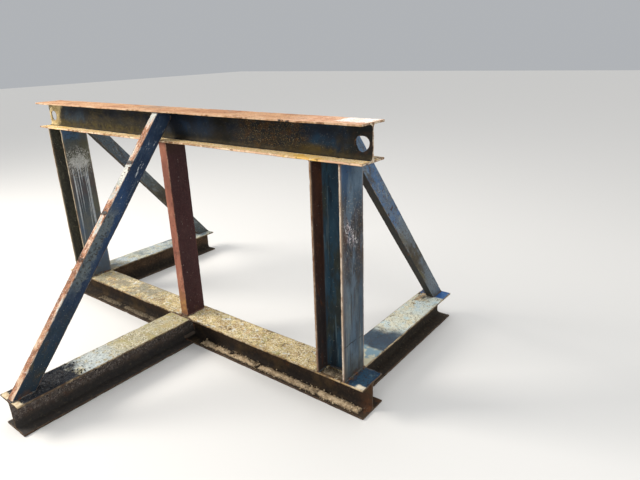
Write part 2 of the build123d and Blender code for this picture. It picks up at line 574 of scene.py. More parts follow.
def edge_wear(p, colour, amount=1.0, seed=0, rough=0.85, mask=None):
    """Paint gone from the corners, in broken stretches."""
    e = p.attr("ed")
    broken = p.noise(46, 4, rough=0.7, seed=seed + 11)
    long = p.noise(5.5, 3, seed=seed + 12)
    t = p.add(e, p.math("MULTIPLY_ADD", broken, 0.9, -0.45), p.math("MULTIPLY_ADD", long, 0.9, -0.45))
    m = p.ramp(t, 0.78 - 0.25 * amount, 0.98 - 0.25 * amount)
    if mask is not None:
        m = p.mul(m, mask)
    p.layer(m, colour, rough, -0.25)
    return m


def rust_patches(p, where, amount=0.5, seed=0, scale=13.0, height=0.35, bright=0.35):
    """Blistered rust that has lifted the paint, with a lighter rim and a dark middle."""
    n = p.noise(scale, 7, rough=0.70, seed=seed + 41)
    t = 0.70 - 0.22 * amount
    rim = p.mul(p.ramp(n, t - 0.03, t + 0.02), where)
    core = p.mul(p.ramp(n, t + 0.02, t + 0.07), where)
    p.layer(p.mul(rim, 0.85), p.two(lin(118, 72, 46), lin(92, 60, 42), 60, detail=4, seed=seed + 42), 0.9, height * 0.6)
    p.layer(core, p.rust_colour(seed + 43, bright), 0.95, height * 0.6)
    return rim


def speckle(p, where, colour=RUSTDARK, size=0.20, scale=95, seed=0):
    m = p.spots(scale, size, where, seed=seed)
    p.layer(m, colour, 0.9, 0.15)
    return m


def streaks(p, where, colour, stretch, scale=1.0, lo=0.54, hi=0.70, rough=0.7, seed=0, base=None, strength=1.0):
    n = p.noise(scale, 4, rough=0.6, stretch=stretch, seed=seed + 61, base=base)
    m = p.mul(p.ramp(n, lo, hi), where)
    if strength != 1.0:
        m = p.mul(m, strength)
    p.layer(m, colour, rough, 0.0)
    return m


def chips(p, where, colour=CHIP, scale=70, amount=0.5, seed=0, stretch=(1, 1, 1), base=None):
    n = p.noise(scale, 6, rough=0.78, stretch=stretch, seed=seed + 71, base=base)
    m = p.mul(p.ramp(n, 0.70 - 0.16 * amount, 0.73 - 0.16 * amount), where)
    p.layer(m, colour, 0.7, -0.12)
    return m


def crust(p, where, tones, seed=0, amount=0.5):
    """Lichen, dust and old paint flakes on a face that looks up: crumbs of several sizes over each other."""
    a, b, c, d = tones
    cloud(p, where, p.two(a, b, 50, detail=5, seed=seed + 1), 19, 0.56 - 0.16 * amount, 0.63 - 0.12 * amount, seed=seed + 2, rough=0.95, height=0.2)
    cloud(p, where, p.two(b, c, 90, detail=4, seed=seed + 3), 52, 0.59 - 0.10 * amount, 0.63 - 0.08 * amount, seed=seed + 4, rough=0.96, height=0.35)
    cloud(p, where, d, 30, 0.58, 0.65, 0.6, seed=seed + 10)
    r = p.spots(80, 0.30, where, seed=seed + 5, ragged=0.5)
    r = p.mul(r, p.ramp(p.noise(13, 4, seed=seed + 6), 0.42, 0.54))
    p.layer(r, p.two(c, a, 90, detail=3, seed=seed + 7), 0.97, 0.45)
    pricks(p, where, d, 130, 0.59, 0.64, seed=seed + 8, height=0.2)
    pricks(p, where, lin(240, 234, 218), 170, 0.60, 0.65, seed=seed + 9, height=0.3)


def foot_rust(p, top, colour=None, seed=0, strength=1.0):
    """Damp stain that climbs the last centimetres above a joint or the floor."""
    n = p.math("MULTIPLY_ADD", p.noise(17, 5, rough=0.65, seed=seed + 96), 0.20, p.z)
    m = p.ramp(n, top + 0.13, top + 0.07)
    if strength != 1.0:
        m = p.mul(m, strength)
    p.layer(m, colour or p.two(BROWN, lin(112, 70, 44), 40, detail=4, seed=seed + 97), 0.92, 0.15)
    return m


def worn_blue(p, dark, light, grey, seed=0, base=None, along=(1, 1, 1)):
    """Old chalky blue paint: cloudy tone, finer mottle, and a chalky bloom."""
    big = p.ramp(p.noise(4.5, 5, seed=seed + 21, stretch=along, base=base), 0.38, 0.62)
    c = p.mixc(big, dark, light)
    c = p.mixc(p.mul(p.ramp(p.noise(11, 6, rough=0.68, seed=seed + 22, stretch=along, base=base), 0.46, 0.62), 0.8), c, grey)
    c = p.mixc(p.mul(p.ramp(p.noise(140, 4, rough=0.7, seed=seed + 23), 0.44, 0.62), 0.35), c, grey)
    c = p.mixc(p.mul(p.ramp(p.noise(70, 5, rough=0.7, seed=seed + 25), 0.56, 0.66), 0.4), c, dark)
    p.base(c, p.mixf(p.ramp(p.noise(20, 4, seed=seed + 24), 0.35, 0.65), 0.48, 0.70), 0.0)
    grain(p)


ANY = 1.0


def paint_girder_web():
    p = Paint("worn_paint_top_girder", 0.12)
    # painted shade: the web's base tones are kept very dark, partly for the top flange's shadow over the web
    worn_blue(p, lin(17, 23, 30), lin(26, 31, 34), lin(36, 35, 30), seed=1, along=(0.5, 1, 1))
    web, z = p.attr("wb"), p.z
    # painted shade: a band along the top of the web, under the top flange
    flange_shade_band = p.ramp(p.math("MULTIPLY_ADD", p.noise(9, 5, seed=30, stretch=(0.6, 1, 1)), 0.07, z), 1.200, 1.250)
    # left half: grey-olive film with ochre dust low down
    left = p.mul(web, p.box(x=(None, -0.02), soft=0.10, warp=0.05, seed=31))
    cloud(p, left, p.two(lin(62, 55, 38), lin(44, 41, 30), 16, detail=6, seed=32), 9, 0.38, 0.56, 0.85, (0.6, 1, 1), 33, 0.8)
    pricks(p, left, lin(120, 104, 72), 210, 0.60, 0.68, seed=34)
    cloud(p, p.mul(left, p.ramp(z, 1.185, 1.150)), p.two(lin(86, 76, 42), lin(76, 68, 40), 40, detail=5, seed=35), 26, 0.44, 0.58, 0.7, seed=36, rough=0.9)
    # navy paint still shows in places, kept to the upper web, where it is also painted shade under the top flange
    for x0, x1, k, tone in ((0.06, 0.34, 37, lin(18, 40, 62)), (0.82, 1.10, 38, lin(20, 53, 76)), (-0.12, 0.05, 39, lin(20, 34, 52)), (-1.02, -0.78, 40, lin(42, 58, 70))):
        spot = p.mul(web, p.box(x=(x0, x1), z=(1.168, None), soft=0.035, warp=0.05, seed=k))
        cloud(p, spot, p.two(tone, lin(22, 32, 44), 14, detail=6, seed=k + 100), 9, 0.36, 0.52, 0.9, (0.6, 1, 1), k + 200, 0.55)
    # middle: black-brown, then a stretch with fine rust through it
    mid = p.mul(web, p.box(x=(0.32, 0.88), soft=0.05, warp=0.05, seed=41))
    cloud(p, mid, p.two(lin(36, 30, 20), lin(25, 24, 19), 18, detail=6, seed=42), 8, 0.36, 0.56, 0.9, (0.6, 1, 1), 43, 0.85)
    zone = p.mul(mid, p.box(x=(0.50, None), soft=0.08, warp=0.05, seed=44))
    cloud(p, zone, p.two(lin(58, 42, 26), lin(72, 50, 29), 40, detail=5, seed=45), 30, 0.50, 0.60, 0.75, seed=46, rough=0.92, height=0.15)
    cloud(p, zone, p.two(lin(88, 72, 36), lin(66, 54, 30), 60, detail=5, seed=113), 95, 0.55, 0.62, 0.65, seed=114, rough=0.92, height=0.15)
    pricks(p, zone, lin(108, 80, 44), 210, 0.60, 0.66, seed=47)
    pricks(p, zone, lin(150, 132, 96), 240, 0.64, 0.69, seed=48)
    olive = p.mul(web, p.top(p.box(x=(1.04, 1.09), soft=0.016, warp=0.03, seed=49), p.box(x=(0.78, 1.10), z=(None, 1.164), soft=0.014, warp=0.02, seed=115)))
    cloud(p, olive, p.two(lin(84, 70, 34), lin(56, 46, 28), 22, detail=5, seed=50), 14, 0.36, 0.54, 0.85, (1, 1, 0.4), 51, 0.85)
    end = p.mul(p.box(x=(1.085, None), soft=0.02, warp=0.02, seed=52), p.inv(p.attr("tp")))
    p.layer(p.mul(end, 0.8), p.two(lin(29, 32, 32), lin(40, 35, 30), 22, detail=6, seed=53), 0.8, 0.1)
    streaks(p, web, p.two(lin(60, 54, 36), lin(34, 30, 23), 20, seed=54), (26, 4, 2.6), 1.0, 0.56, 0.72, 0.8, seed=55, strength=0.6)
    # painted shade under the top flange: the band along the top of the web is darkened navy
    cloud(p, p.mul(web, flange_shade_band), lin(17, 25, 38), 10, 0.42, 0.60, 0.75, (0.6, 1, 1), 56)
    pricks(p, web, lin(164, 156, 136), 260, 0.69, 0.73, seed=57)
    speckle(p, p.mul(web, p.ramp(p.noise(10, 3, seed=58), 0.5, 0.66)), BONE, 0.05, 120, seed=59)
    dust = p.mul(web, p.ramp(p.math("MULTIPLY_ADD", p.noise(22, 5, rough=0.7, seed=60, stretch=(0.6, 1, 1)), 0.030, z), 1.172, 1.150))
    p.layer(p.mul(dust, 0.5), p.two(lin(78, 66, 42), lin(54, 47, 31), 40, detail=5, seed=61), 0.93, 0.2)
    # left end: cream and ochre crust on the web, with painted sunlight: a bright patch cut off along a diagonal where
    # the top flange's shadow ends
    crust_and_sun_left_end = p.mul(web, p.ramp(p.math("MULTIPLY_ADD", p.math("SUBTRACT", z, 1.13), -0.65, p.math("MULTIPLY_ADD", p.noise(14, 6, rough=0.7, seed=62), 0.12, p.x)), -1.03, -1.09))
    cloud(p, crust_and_sun_left_end, p.two(lin(214, 192, 144), lin(178, 156, 108), 26, detail=5, seed=63), 16, 0.34, 0.48, 0.9, seed=64, rough=0.95, height=0.2)
    pricks(p, crust_and_sun_left_end, CREAM, 140, 0.56, 0.64, seed=65)
    hole = p.top(p.box(x=(1.112, None), z=(1.148, 1.232), soft=0.010, warp=0.012, seed=108),
                 p.box(x=(None, -1.112), z=(1.148, 1.232), soft=0.010, warp=0.012, seed=109))
    p.layer(p.mul(hole, web, p.ramp(p.noise(40, 6, seed=110), 0.46, 0.60), 0.5), p.two(lin(64, 48, 36), lin(50, 37, 29), 60, seed=111), 0.92, 0.2)
    edge_wear(p, p.two(lin(128, 96, 68), lin(92, 62, 44), 25, detail=4, seed=106), 0.30, seed=107)
    rim = p.mul(p.ramp(p.x, 1.1972, 1.1988), p.ramp(p.noise(46, 5, rough=0.7, seed=118), 0.40, 0.50))
    p.layer(p.mul(rim, 0.85), p.two(lin(222, 206, 180), lin(176, 142, 112), 60, detail=4, seed=119), 0.88)
    return p.done()


def paint_girder_flanges():
    p = Paint("rusty_flanges_top_girder", 0.12)
    p.base(p.two(lin(38, 42, 46), lin(56, 48, 40), 12, seed=121, detail=6), 0.85, 0.0)
    grain(p)
    z = p.z
    # painted shade: the soffits, under the top flange and under the bottom flange, stay dark
    p.layer(p.mul(p.attr("ia"), 0.8), p.two(lin(26, 30, 36), lin(48, 40, 34), 14, detail=6, seed=66), 0.85)
    p.layer(p.mul(p.attr("ob"), 0.8), p.two(lin(40, 48, 60), lin(78, 58, 44), 9, detail=6, seed=67), 0.8)
    rust_patches(p, p.attr("ob"), 0.42, seed=9)
    # upper face of the bottom flange: cream and ochre crust, made brighter as painted sunlight, and darker in by the
    # web as painted shade of the top flange
    shelf = p.attr("ib")
    inby = p.ramp(p.math("ABSOLUTE", p.y), 0.024, 0.009)
    p.layer(shelf, p.two(lin(236, 208, 160), lin(216, 180, 122), 9, detail=6, seed=68), 0.95, 0.3)
    crust(p, shelf, (lin(238, 212, 166), lin(226, 184, 108), lin(240, 224, 190), lin(166, 134, 88)), 70, 0.4)
    # painted shade: the back half of the shelf, behind the web, darker and bluer
    back_shelf_shade = p.mul(shelf, p.ramp(p.y, 0.010, 0.022), p.ramp(p.noise(30, 6, rough=0.7, seed=124), 0.60, 0.48))
    p.layer(p.mul(back_shelf_shade, 0.9), p.two(lin(86, 92, 102), lin(104, 78, 58), 11, detail=6, seed=125), 0.85)
    p.layer(p.mul(shelf, inby, p.ramp(p.noise(22, 5, seed=80), 0.30, 0.52)), p.two(lin(92, 78, 56), OLIVEDARK, 60, detail=5, seed=81), 0.97, 0.4)
    # flange edges: pale cream and pinkish tan, partly painted sunlight on top of their rusty tone
    tip = p.attr("tp")
    lowtip = p.mul(tip, p.ramp(z, 1.14, 1.13))
    hightip = p.mul(tip, p.ramp(z, 1.25, 1.26))
    p.layer(lowtip, p.two(lin(236, 202, 168), lin(216, 172, 138), 16, detail=5, seed=82, stretch=(0.5, 1, 1)), 0.93, 0.2)
    gold = p.mul(p.top(lowtip, shelf), p.top(p.box(x=(0.81, 1.01), soft=0.05, warp=0.05, seed=83), p.mul(p.box(x=(-1.2, -0.9), soft=0.05), 0.6)))
    cloud(p, gold, p.two(lin(240, 200, 96), lin(224, 176, 84), 20, detail=4, seed=84), 12, 0.38, 0.54, 0.9, (0.5, 1, 1), 85, 0.95, 0.2)
    cloud(p, lowtip, lin(240, 222, 190), 34, 0.52, 0.60, 0.8, (0.6, 1, 1), 86, 0.9, 0.15)
    p.layer(p.mul(hightip, 0.95), p.two(lin(196, 148, 112), lin(222, 190, 156), 13, lo=0.38, hi=0.58, detail=6, seed=87, stretch=(0.5, 1, 1)), 0.92, 0.1)
    cloud(p, tip, p.two(lin(98, 64, 44), lin(134, 92, 62), 60, detail=4, seed=88), 34, 0.57, 0.63, 0.85, (0.6, 1, 1), 89, 0.95, 0.1)
    # top face: bare and rusty, with long streaks where loads have been dragged
    top = p.attr("oa")
    p.layer(top, p.two(lin(194, 151, 115), lin(172, 125, 93), 3.2, lo=0.36, hi=0.66, detail=9, seed=90), 0.9, 0.1)
    cloud(p, top, p.two(lin(214, 178, 144), lin(194, 156, 122), 70, detail=5, seed=91), 9, 0.40, 0.70, 0.8, (0.8, 1.1, 1), 92, 0.88, 0.05)
    cloud(p, top, p.two(lin(150, 102, 78), lin(122, 82, 62), 90, detail=5, seed=93), 12, 0.48, 0.76, 0.85, (0.9, 1.1, 1), 94, 0.95, 0.1)
    cloud(p, top, p.two(lin(122, 78, 56), lin(104, 66, 48), 60, detail=5, seed=126), 90, 0.55, 0.64, 0.7, (0.9, 1.1, 1), 127, 0.95, 0.15)
    streaks(p, top, p.two(lin(112, 72, 52), lin(146, 98, 72), 30, seed=95), (3.2, 52, 1), 1.0, 0.57, 0.68, 0.9, seed=96, strength=0.5)
    streaks(p, top, lin(214, 180, 142), (3.6, 66, 1), 1.0, 0.61, 0.69, 0.85, seed=97, strength=0.5)
    cloud(p, top, p.two(lin(120, 112, 104), lin(150, 140, 126), 30, detail=4, seed=98), 6, 0.58, 0.70, 0.6, (0.5, 1, 1), 99, 0.85)
    # the right end of the top face paler, with a near-white patch: pale bare steel, with painted sun glare on it
    strip = p.mul(top, p.box(x=(0.86, None), soft=0.10, warp=0.05, seed=116))
    p.layer(p.mul(strip, 0.75), p.two(lin(232, 192, 160), lin(204, 152, 122), 30, detail=5, seed=117), 0.88)
    pale = p.mul(top, p.box(x=(1.045, 1.195), y=(-0.036, 0.080), soft=0.009, warp=0.034, seed=100))
    p.layer(p.mul(pale, 0.94), p.two(lin(250, 246, 240), lin(240, 226, 212), 26, detail=5, seed=101), 0.85)
    cloud(p, pale, p.two(lin(206, 170, 146), lin(188, 146, 118), 60, seed=128), 26, 0.55, 0.68, 0.7, seed=102)
    pricks(p, top, RUSTDARK, 200, 0.61, 0.67, seed=103)
    edge_wear(p, p.two(lin(196, 150, 118), lin(216, 188, 162), 25, detail=4, seed=104), 0.8, seed=105, mask=top)
    edge_wear(p, p.two(lin(150, 118, 80), lin(108, 72, 48), 25, detail=4, seed=106), 0.30, seed=107, mask=p.inv(top))
    return p.done()


def paint_right_column():
    p = Paint("worn_paint_right_column", 0.18)
    worn_blue(p, lin(44, 61, 78), lin(66, 81, 94), lin(73, 76, 76), seed=101, along=(1, 1, 0.45))
    face = p.attr("oa")
    # outer face: clear blue at the top, grey-brown in the middle, blue-grey below
    t = p.math("MULTIPLY_ADD", p.noise(6, 6, rough=0.66, seed=102), 0.30, p.z)
    head = p.ramp(t, 1.06, 1.20)
    p.layer(p.mul(face, head, 0.85), p.two(lin(36, 72, 110), lin(66, 88, 108), 10, lo=0.42, hi=0.58, detail=6, seed=103, stretch=(1, 1, 0.5)), 0.52)
    cloud(p, p.mul(face, head), p.two(lin(88, 93, 95), lin(66, 72, 76), 30, detail=5, seed=144), 16, 0.54, 0.66, 0.6, (1, 1, 0.35), 145, 0.7)
    mid = p.mul(face, p.ramp(t, 1.13, 1.03), p.ramp(t, 0.72, 0.86))
    p.layer(p.mul(mid, 0.75), p.two(lin(70, 62, 60), lin(56, 56, 61), 9, detail=6, seed=104, stretch=(1, 1, 0.5)), 0.75, 0.05)
    cloud(p, mid, p.two(lin(70, 52, 44), lin(84, 64, 56), 30, detail=5, seed=105), 18, 0.50, 0.63, 0.8, (1, 1, 0.28), 106, 0.85, 0.1)
    cloud(p, face, lin(98, 118, 134), 13, 0.47, 0.60, 0.68, (1, 1, 0.30), 156)
    cloud(p, face, p.two(lin(46, 52, 56), lin(62, 54, 48), 30, seed=157), 17, 0.52, 0.64, 0.75, (1, 1, 0.28), 158)
    low = p.mul(face, p.ramp(t, 0.78, 0.62))
    p.layer(p.mul(low, 0.45), p.two(lin(52, 74, 92), lin(86, 100, 108), 9, lo=0.42, hi=0.58, detail=6, seed=107, stretch=(1, 1, 0.4)), 0.62)
    streaks(p, low, p.two(lin(120, 126, 124), lin(106, 118, 122), 30, seed=146), (30, 30, 1.5), 1.0, 0.54, 0.68, 0.7, seed=147, strength=0.75)
    streaks(p, low, p.two(lin(60, 58, 54), lin(76, 66, 56), 30, seed=148), (34, 34, 1.8), 1.0, 0.56, 0.70, 0.8, seed=149, strength=0.75)
    side = p.ramp(p.math("MULTIPLY_ADD", p.noise(14, 5, seed=108, stretch=(1, 1, 0.4)), 0.06, p.y), -0.010, -0.045)
    p.layer(p.mul(face, side, p.ramp(p.z, 1.02, 0.90), 0.55), p.two(lin(86, 70, 58), lin(100, 88, 78), 14, detail=5, seed=109, stretch=(1, 1, 0.4)), 0.8)
    # white paint knocks: ragged specks in a loose cluster
    run1 = p.math("MULTIPLY_ADD", p.y, 6.1, p.math("MULTIPLY_ADD", p.z, -10.0, 8.34))
    run2 = p.math("MULTIPLY_ADD", p.y, 25.0, p.math("MULTIPLY_ADD", p.z, 15.0, -11.96))
    r = p.math("SQRT", p.add(p.math("MULTIPLY", run1, run1), p.math("MULTIPLY", run2, run2)))
    near = p.ramp(p.math("MULTIPLY_ADD", p.noise(30, 6, rough=0.75, seed=110), 1.5, r), 1.95, 1.15)
    n = p.noise(105, 6, rough=0.8, seed=111, stretch=(1, 1.1, 0.6))
    p.layer(p.mul(face, near, p.ramp(n, 0.515, 0.545)), p.two(lin(222, 218, 216), lin(186, 170, 176), 80, detail=3, seed=112), 0.75, 0.2)
    pricks(p, p.mul(face, p.box(z=(0.66, 1.00), soft=0.06)), BONE, 260, 0.65, 0.69, seed=113, stretch=(1, 1, 0.7))
    pricks(p, p.mul(face, p.inv(head)), lin(60, 48, 42), 190, 0.64, 0.72, seed=114, stretch=(1, 1, 0.6))
    speckle(p, p.mul(face, head), lin(70, 56, 48), 0.10, 85, seed=115)
    streaks(p, p.mul(face, p.inv(head)), p.two(UMBER, RUSTDARK, 30, seed=116), (18, 18, 1.5), 1.0, 0.60, 0.72, 0.8, seed=117, strength=0.6)
    # a thin crack line low down
    line = p.math("ABSOLUTE", p.math("SUBTRACT", p.math("MULTIPLY_ADD", p.noise(30, 4, seed=150), 0.022, p.z), 0.335))
    p.layer(p.mul(face, p.ramp(line, 0.0030, 0.0010), p.ramp(p.noise(26, 3, seed=151), 0.45, 0.53), 0.85), lin(48, 44, 42), 0.9, -0.3)
    base_stain = p.mul(face, p.ramp(p.math("MULTIPLY_ADD", p.noise(15, 6, rough=0.7, seed=152), 0.16, p.z), 0.36, 0.24))
    p.layer(p.mul(base_stain, 0.55), p.two(lin(84, 80, 66), lin(66, 62, 54), 26, detail=6, seed=153), 0.85, 0.1)
    # the recess: left flange's inner face rusty brown, web dark blue with pale scratches
    inb, inr, web = p.attr("ib"), p.attr("ia"), p.attr("wb")
    p.layer(web, p.two(lin(30, 50, 64), lin(46, 74, 90), 6, detail=6, seed=118, stretch=(1, 1, 0.35)), 0.6)
    cloud(p, web, p.two(lin(60, 62, 50), lin(48, 50, 44), 20, detail=5, seed=119), 12, 0.48, 0.60, 0.85, (1, 1, 0.25), 120, 0.8)
    cloud(p, web, lin(26, 34, 42), 16, 0.52, 0.62, 0.8, (1.3, 1, 0.22), 159)
    low_in = p.ramp(p.math("MULTIPLY_ADD", p.noise(5, 5, seed=121), 0.3, p.z), 0.85, 0.62)
    brown = p.mixc(low_in, p.two(lin(76, 48, 36), lin(58, 38, 30), 10, detail=6, seed=122, stretch=(1, 1, 0.4)),
                   p.two(lin(54, 46, 44), lin(44, 38, 38), 10, detail=6, seed=123, stretch=(1, 1, 0.4)))
    p.layer(inb, brown, 0.85, 0.1)
    cloud(p, inb, p.two(lin(92, 58, 40), lin(74, 48, 36), 40, detail=5, seed=124), 20, 0.54, 0.64, 0.8, (1, 1, 0.45), 125, 0.92, 0.15)
    p.layer(p.mul(inr, 0.8), p.two(lin(44, 52, 62), lin(70, 56, 46), 10, detail=6, seed=126), 0.8)
    pricks(p, p.mul(inb, p.inv(low_in)), lin(116, 76, 54), 180, 0.66, 0.73, seed=127)
    pricks(p, p.top(inb, web), lin(164, 162, 152), 170, 0.705, 0.735, seed=128)
    streaks(p, web, lin(84, 104, 112), (46, 46, 2.2), 1.0, 0.60, 0.68, 0.7, seed=130, strength=0.8)
    streaks(p, web, p.two(lin(66, 50, 40), lin(52, 46, 40), 20, seed=131), (26, 26, 1.2), 1.0, 0.58, 0.72, 0.85, seed=132, strength=0.8)
    chips(p, p.mul(web, p.ramp(p.noise(6, 3, seed=133), 0.50, 0.62)), lin(120, 138, 146), 95, 0.24, seed=134, stretch=(1.5, 1.5, 0.35))
    # the hidden side
    cloud(p, p.attr("ob"), p.two(BROWN, OLIVE, 12, detail=5, seed=135), 7, 0.46, 0.62, 0.9, (1, 1, 0.5), 136, 0.85, 0.1)
    rust_patches(p, p.top(p.attr("ob"), inr), 0.45, seed=137)
    rust_patches(p, p.mul(face, p.inv(head)), 0.05, seed=138, scale=30, bright=0.1)
    tip = p.attr("tp")
    # painted sunlight: the +X flange's edges are painted pale cream over their rusty tone
    right_tip = p.mul(tip, p.ramp(p.x, 1.05, 1.07))
    p.layer(tip, p.two(lin(150, 122, 96), lin(124, 94, 72), 16, detail=5, seed=139, stretch=(1, 1, 0.4)), 0.88, 0.1)
    p.layer(right_tip, p.two(lin(214, 200, 182), lin(190, 166, 142), 22, detail=5, seed=140, stretch=(1, 1, 0.35)), 0.8, 0.1)
    cloud(p, tip, p.two(lin(112, 76, 54), lin(84, 62, 50), 40, detail=4, seed=141), 26, 0.55, 0.63, 0.85, (1, 1, 0.4), 142, 0.93, 0.1)
    edge_wear(p, p.two(lin(112, 80, 60), lin(176, 156, 136), 30, detail=4, seed=143, stretch=(1, 1, 0.4)), 0.42, seed=139)
    foot_rust(p, 0.152, p.two(lin(64, 56, 46), BROWN, 40, detail=5, seed=154), seed=155)
    return p.done()


def paint_left_column():
    p = Paint("worn_paint_left_column", 0.25)
    worn_blue(p, lin(66, 76, 84), lin(86, 94, 98), lin(98, 98, 90), seed=201, along=(1, 1, 0.45))
    face = p.attr("oa")
    t = p.math("MULTIPLY_ADD", p.noise(7, 6, rough=0.66, seed=202), 0.20, p.z)
    p.layer(p.mul(face, p.ramp(t, 1.10, 1.17), 0.8), p.two(lin(62, 94, 128), lin(54, 72, 84), 11, lo=0.42, hi=0.58, detail=6, seed=203), 0.58)
    stain = p.mul(face, p.ramp(t, 1.18, 1.08), p.ramp(t, 0.93, 1.00))
    p.layer(p.mul(stain, 0.7), p.two(lin(84, 80, 62), lin(70, 72, 68), 18, detail=6, seed=204), 0.8, 0.1)
    pricks(p, p.mul(face, p.ramp(p.z, 0.90, 0.98)), lin(60, 52, 40), 170, 0.58, 0.65, seed=234)
    right = p.ramp(p.math("MULTIPLY_ADD", p.noise(14, 5, seed=205, stretch=(1, 1, 0.4)), 0.05, p.y), 0.040, 0.072)
    p.layer(p.mul(face, right, 0.6), p.two(lin(92, 88, 66), lin(84, 80, 66), 18, detail=6, seed=206), 0.85, 0.1)
    # brown-violet bloom under the splash, blue-grey lower down
    under = p.mul(face, p.ramp(p.z, 0.93, 0.86), p.ramp(p.z, 0.62, 0.74))
    cloud(p, under, p.two(lin(84, 70, 68), lin(72, 66, 68), 20, detail=5, seed=235), 10, 0.40, 0.58, 0.8, (1, 1.4, 0.4), 236, 0.8)
    # the pale splash and what ran down from it
    dy, dz = p.math("SUBTRACT", p.y, -0.004), p.math("SUBTRACT", p.z, 0.912)
    r = p.math("SQRT", p.add(p.math("MULTIPLY", p.math("MULTIPLY", dy, dy), 0.62), p.math("MULTIPLY", p.math("MULTIPLY", dz, dz), 0.95)))
    r = p.math("MULTIPLY_ADD", p.noise(30, 7, rough=0.78, seed=207), 0.110, r)
    splash = p.mul(face, p.ramp(r, 0.104, 0.092))
    ragged = p.ramp(p.noise(150, 5, rough=0.75, seed=208), 0.38, 0.50)
    p.layer(p.mul(splash, ragged, 0.95), p.two(lin(204, 202, 196), lin(168, 168, 162), 60, detail=5, seed=209), 0.8, 0.25)
    ring = p.mul(face, p.ramp(r, 0.165, 0.112), p.ramp(p.noise(150, 5, rough=0.75, seed=210), 0.52, 0.56))
    p.layer(ring, p.two(lin(198, 196, 188), lin(160, 158, 148), 60, detail=3, seed=211), 0.8, 0.2)
    lane = p.noise(1.0, 3, rough=0.55, stretch=(1, 105, 1.3), seed=212)
    wide = p.noise(1.0, 2, stretch=(1, 40, 0.9), seed=237)
    reach = p.math("MULTIPLY_ADD", p.noise(1.0, 2, stretch=(1, 60, 0.1), seed=213), 0.75, 0.12)
    below = p.mul(p.ramp(p.z, 0.93, 0.87), p.ramp(p.math("SUBTRACT", p.z, reach), -0.04, 0.08))
    width = p.mul(p.ramp(p.y, -0.068, -0.052), p.ramp(p.y, 0.060, 0.044))
    thin = p.ramp(p.math("MULTIPLY_ADD", wide, 0.30, lane), 0.690, 0.715)
    fade = p.math("MULTIPLY_ADD", p.ramp(p.z, 0.56, 0.86), 0.30, 0.68)
    p.layer(p.mul(face, below, width, thin, fade), p.two(lin(206, 208, 208), lin(170, 178, 184), 50, detail=4, seed=214), 0.75, 0.25)
    p.layer(p.mul(face, p.ramp(p.z, 0.66, 0.46), p.ramp(p.noise(7, 5, seed=216, stretch=(1, 1, 0.6)), 0.40, 0.58), 0.7), p.two(lin(72, 96, 126), lin(66, 82, 102), 12, detail=5, seed=217), 0.58)
    cloud(p, p.mul(face, p.ramp(p.z, 0.40, 0.28)), p.two(lin(88, 86, 78), lin(70, 66, 58), 24, detail=5, seed=238), 12, 0.42, 0.58, 0.7, (1, 1, 0.6), 239, 0.85)
    streaks(p, face, lin(64, 62, 58), (36, 36, 2.0), 1.0, 0.60, 0.72, 0.8, seed=240, strength=0.5)
    inb, inr, web = p.attr("ib"), p.attr("ia"), p.attr("wb")
    recess = p.top(inb, web, inr)
    p.layer(recess, p.two(lin(76, 74, 62), lin(58, 57, 52), 10, detail=6, seed=218, stretch=(1, 1, 0.45)), 0.85, 0.1)
    cloud(p, recess, p.two(lin(74, 60, 46), lin(60, 50, 42), 40, detail=5, seed=219), 18, 0.54, 0.66, 0.85, (1, 1, 0.5), 220, 0.9, 0.15)
    pricks(p, recess, lin(170, 164, 140), 200, 0.63, 0.68, seed=221)
    rust_patches(p, p.attr("ob"), 0.45, seed=222)
    rust_patches(p, face, 0.03, seed=223, scale=30, bright=0.1)
    streaks(p, p.attr("ob"), p.two(OLIVE, BROWN, 20, seed=224), (14, 14, 1.2), 1.0, 0.52, 0.70, 0.8, seed=225, strength=0.8)
    tip = p.attr("tp")
    p.layer(tip, p.two(lin(190, 174, 146), lin(160, 140, 112), 20, detail=5, seed=226, stretch=(1, 1, 0.4)), 0.85, 0.1)
    cloud(p, tip, p.two(lin(98, 76, 56), OLIVE, 30, seed=227), 24, 0.52, 0.61, 0.85, (1, 1, 0.4), 228, 0.93, 0.1)
    edge_wear(p, p.two(lin(108, 84, 62), lin(170, 160, 140), 30, detail=4, seed=229, stretch=(1, 1, 0.4)), 0.38, seed=230)
    foot_rust(p, 0.152, p.two(SOIL, BROWN, 40, detail=5, seed=231), seed=232)
    return p.done()


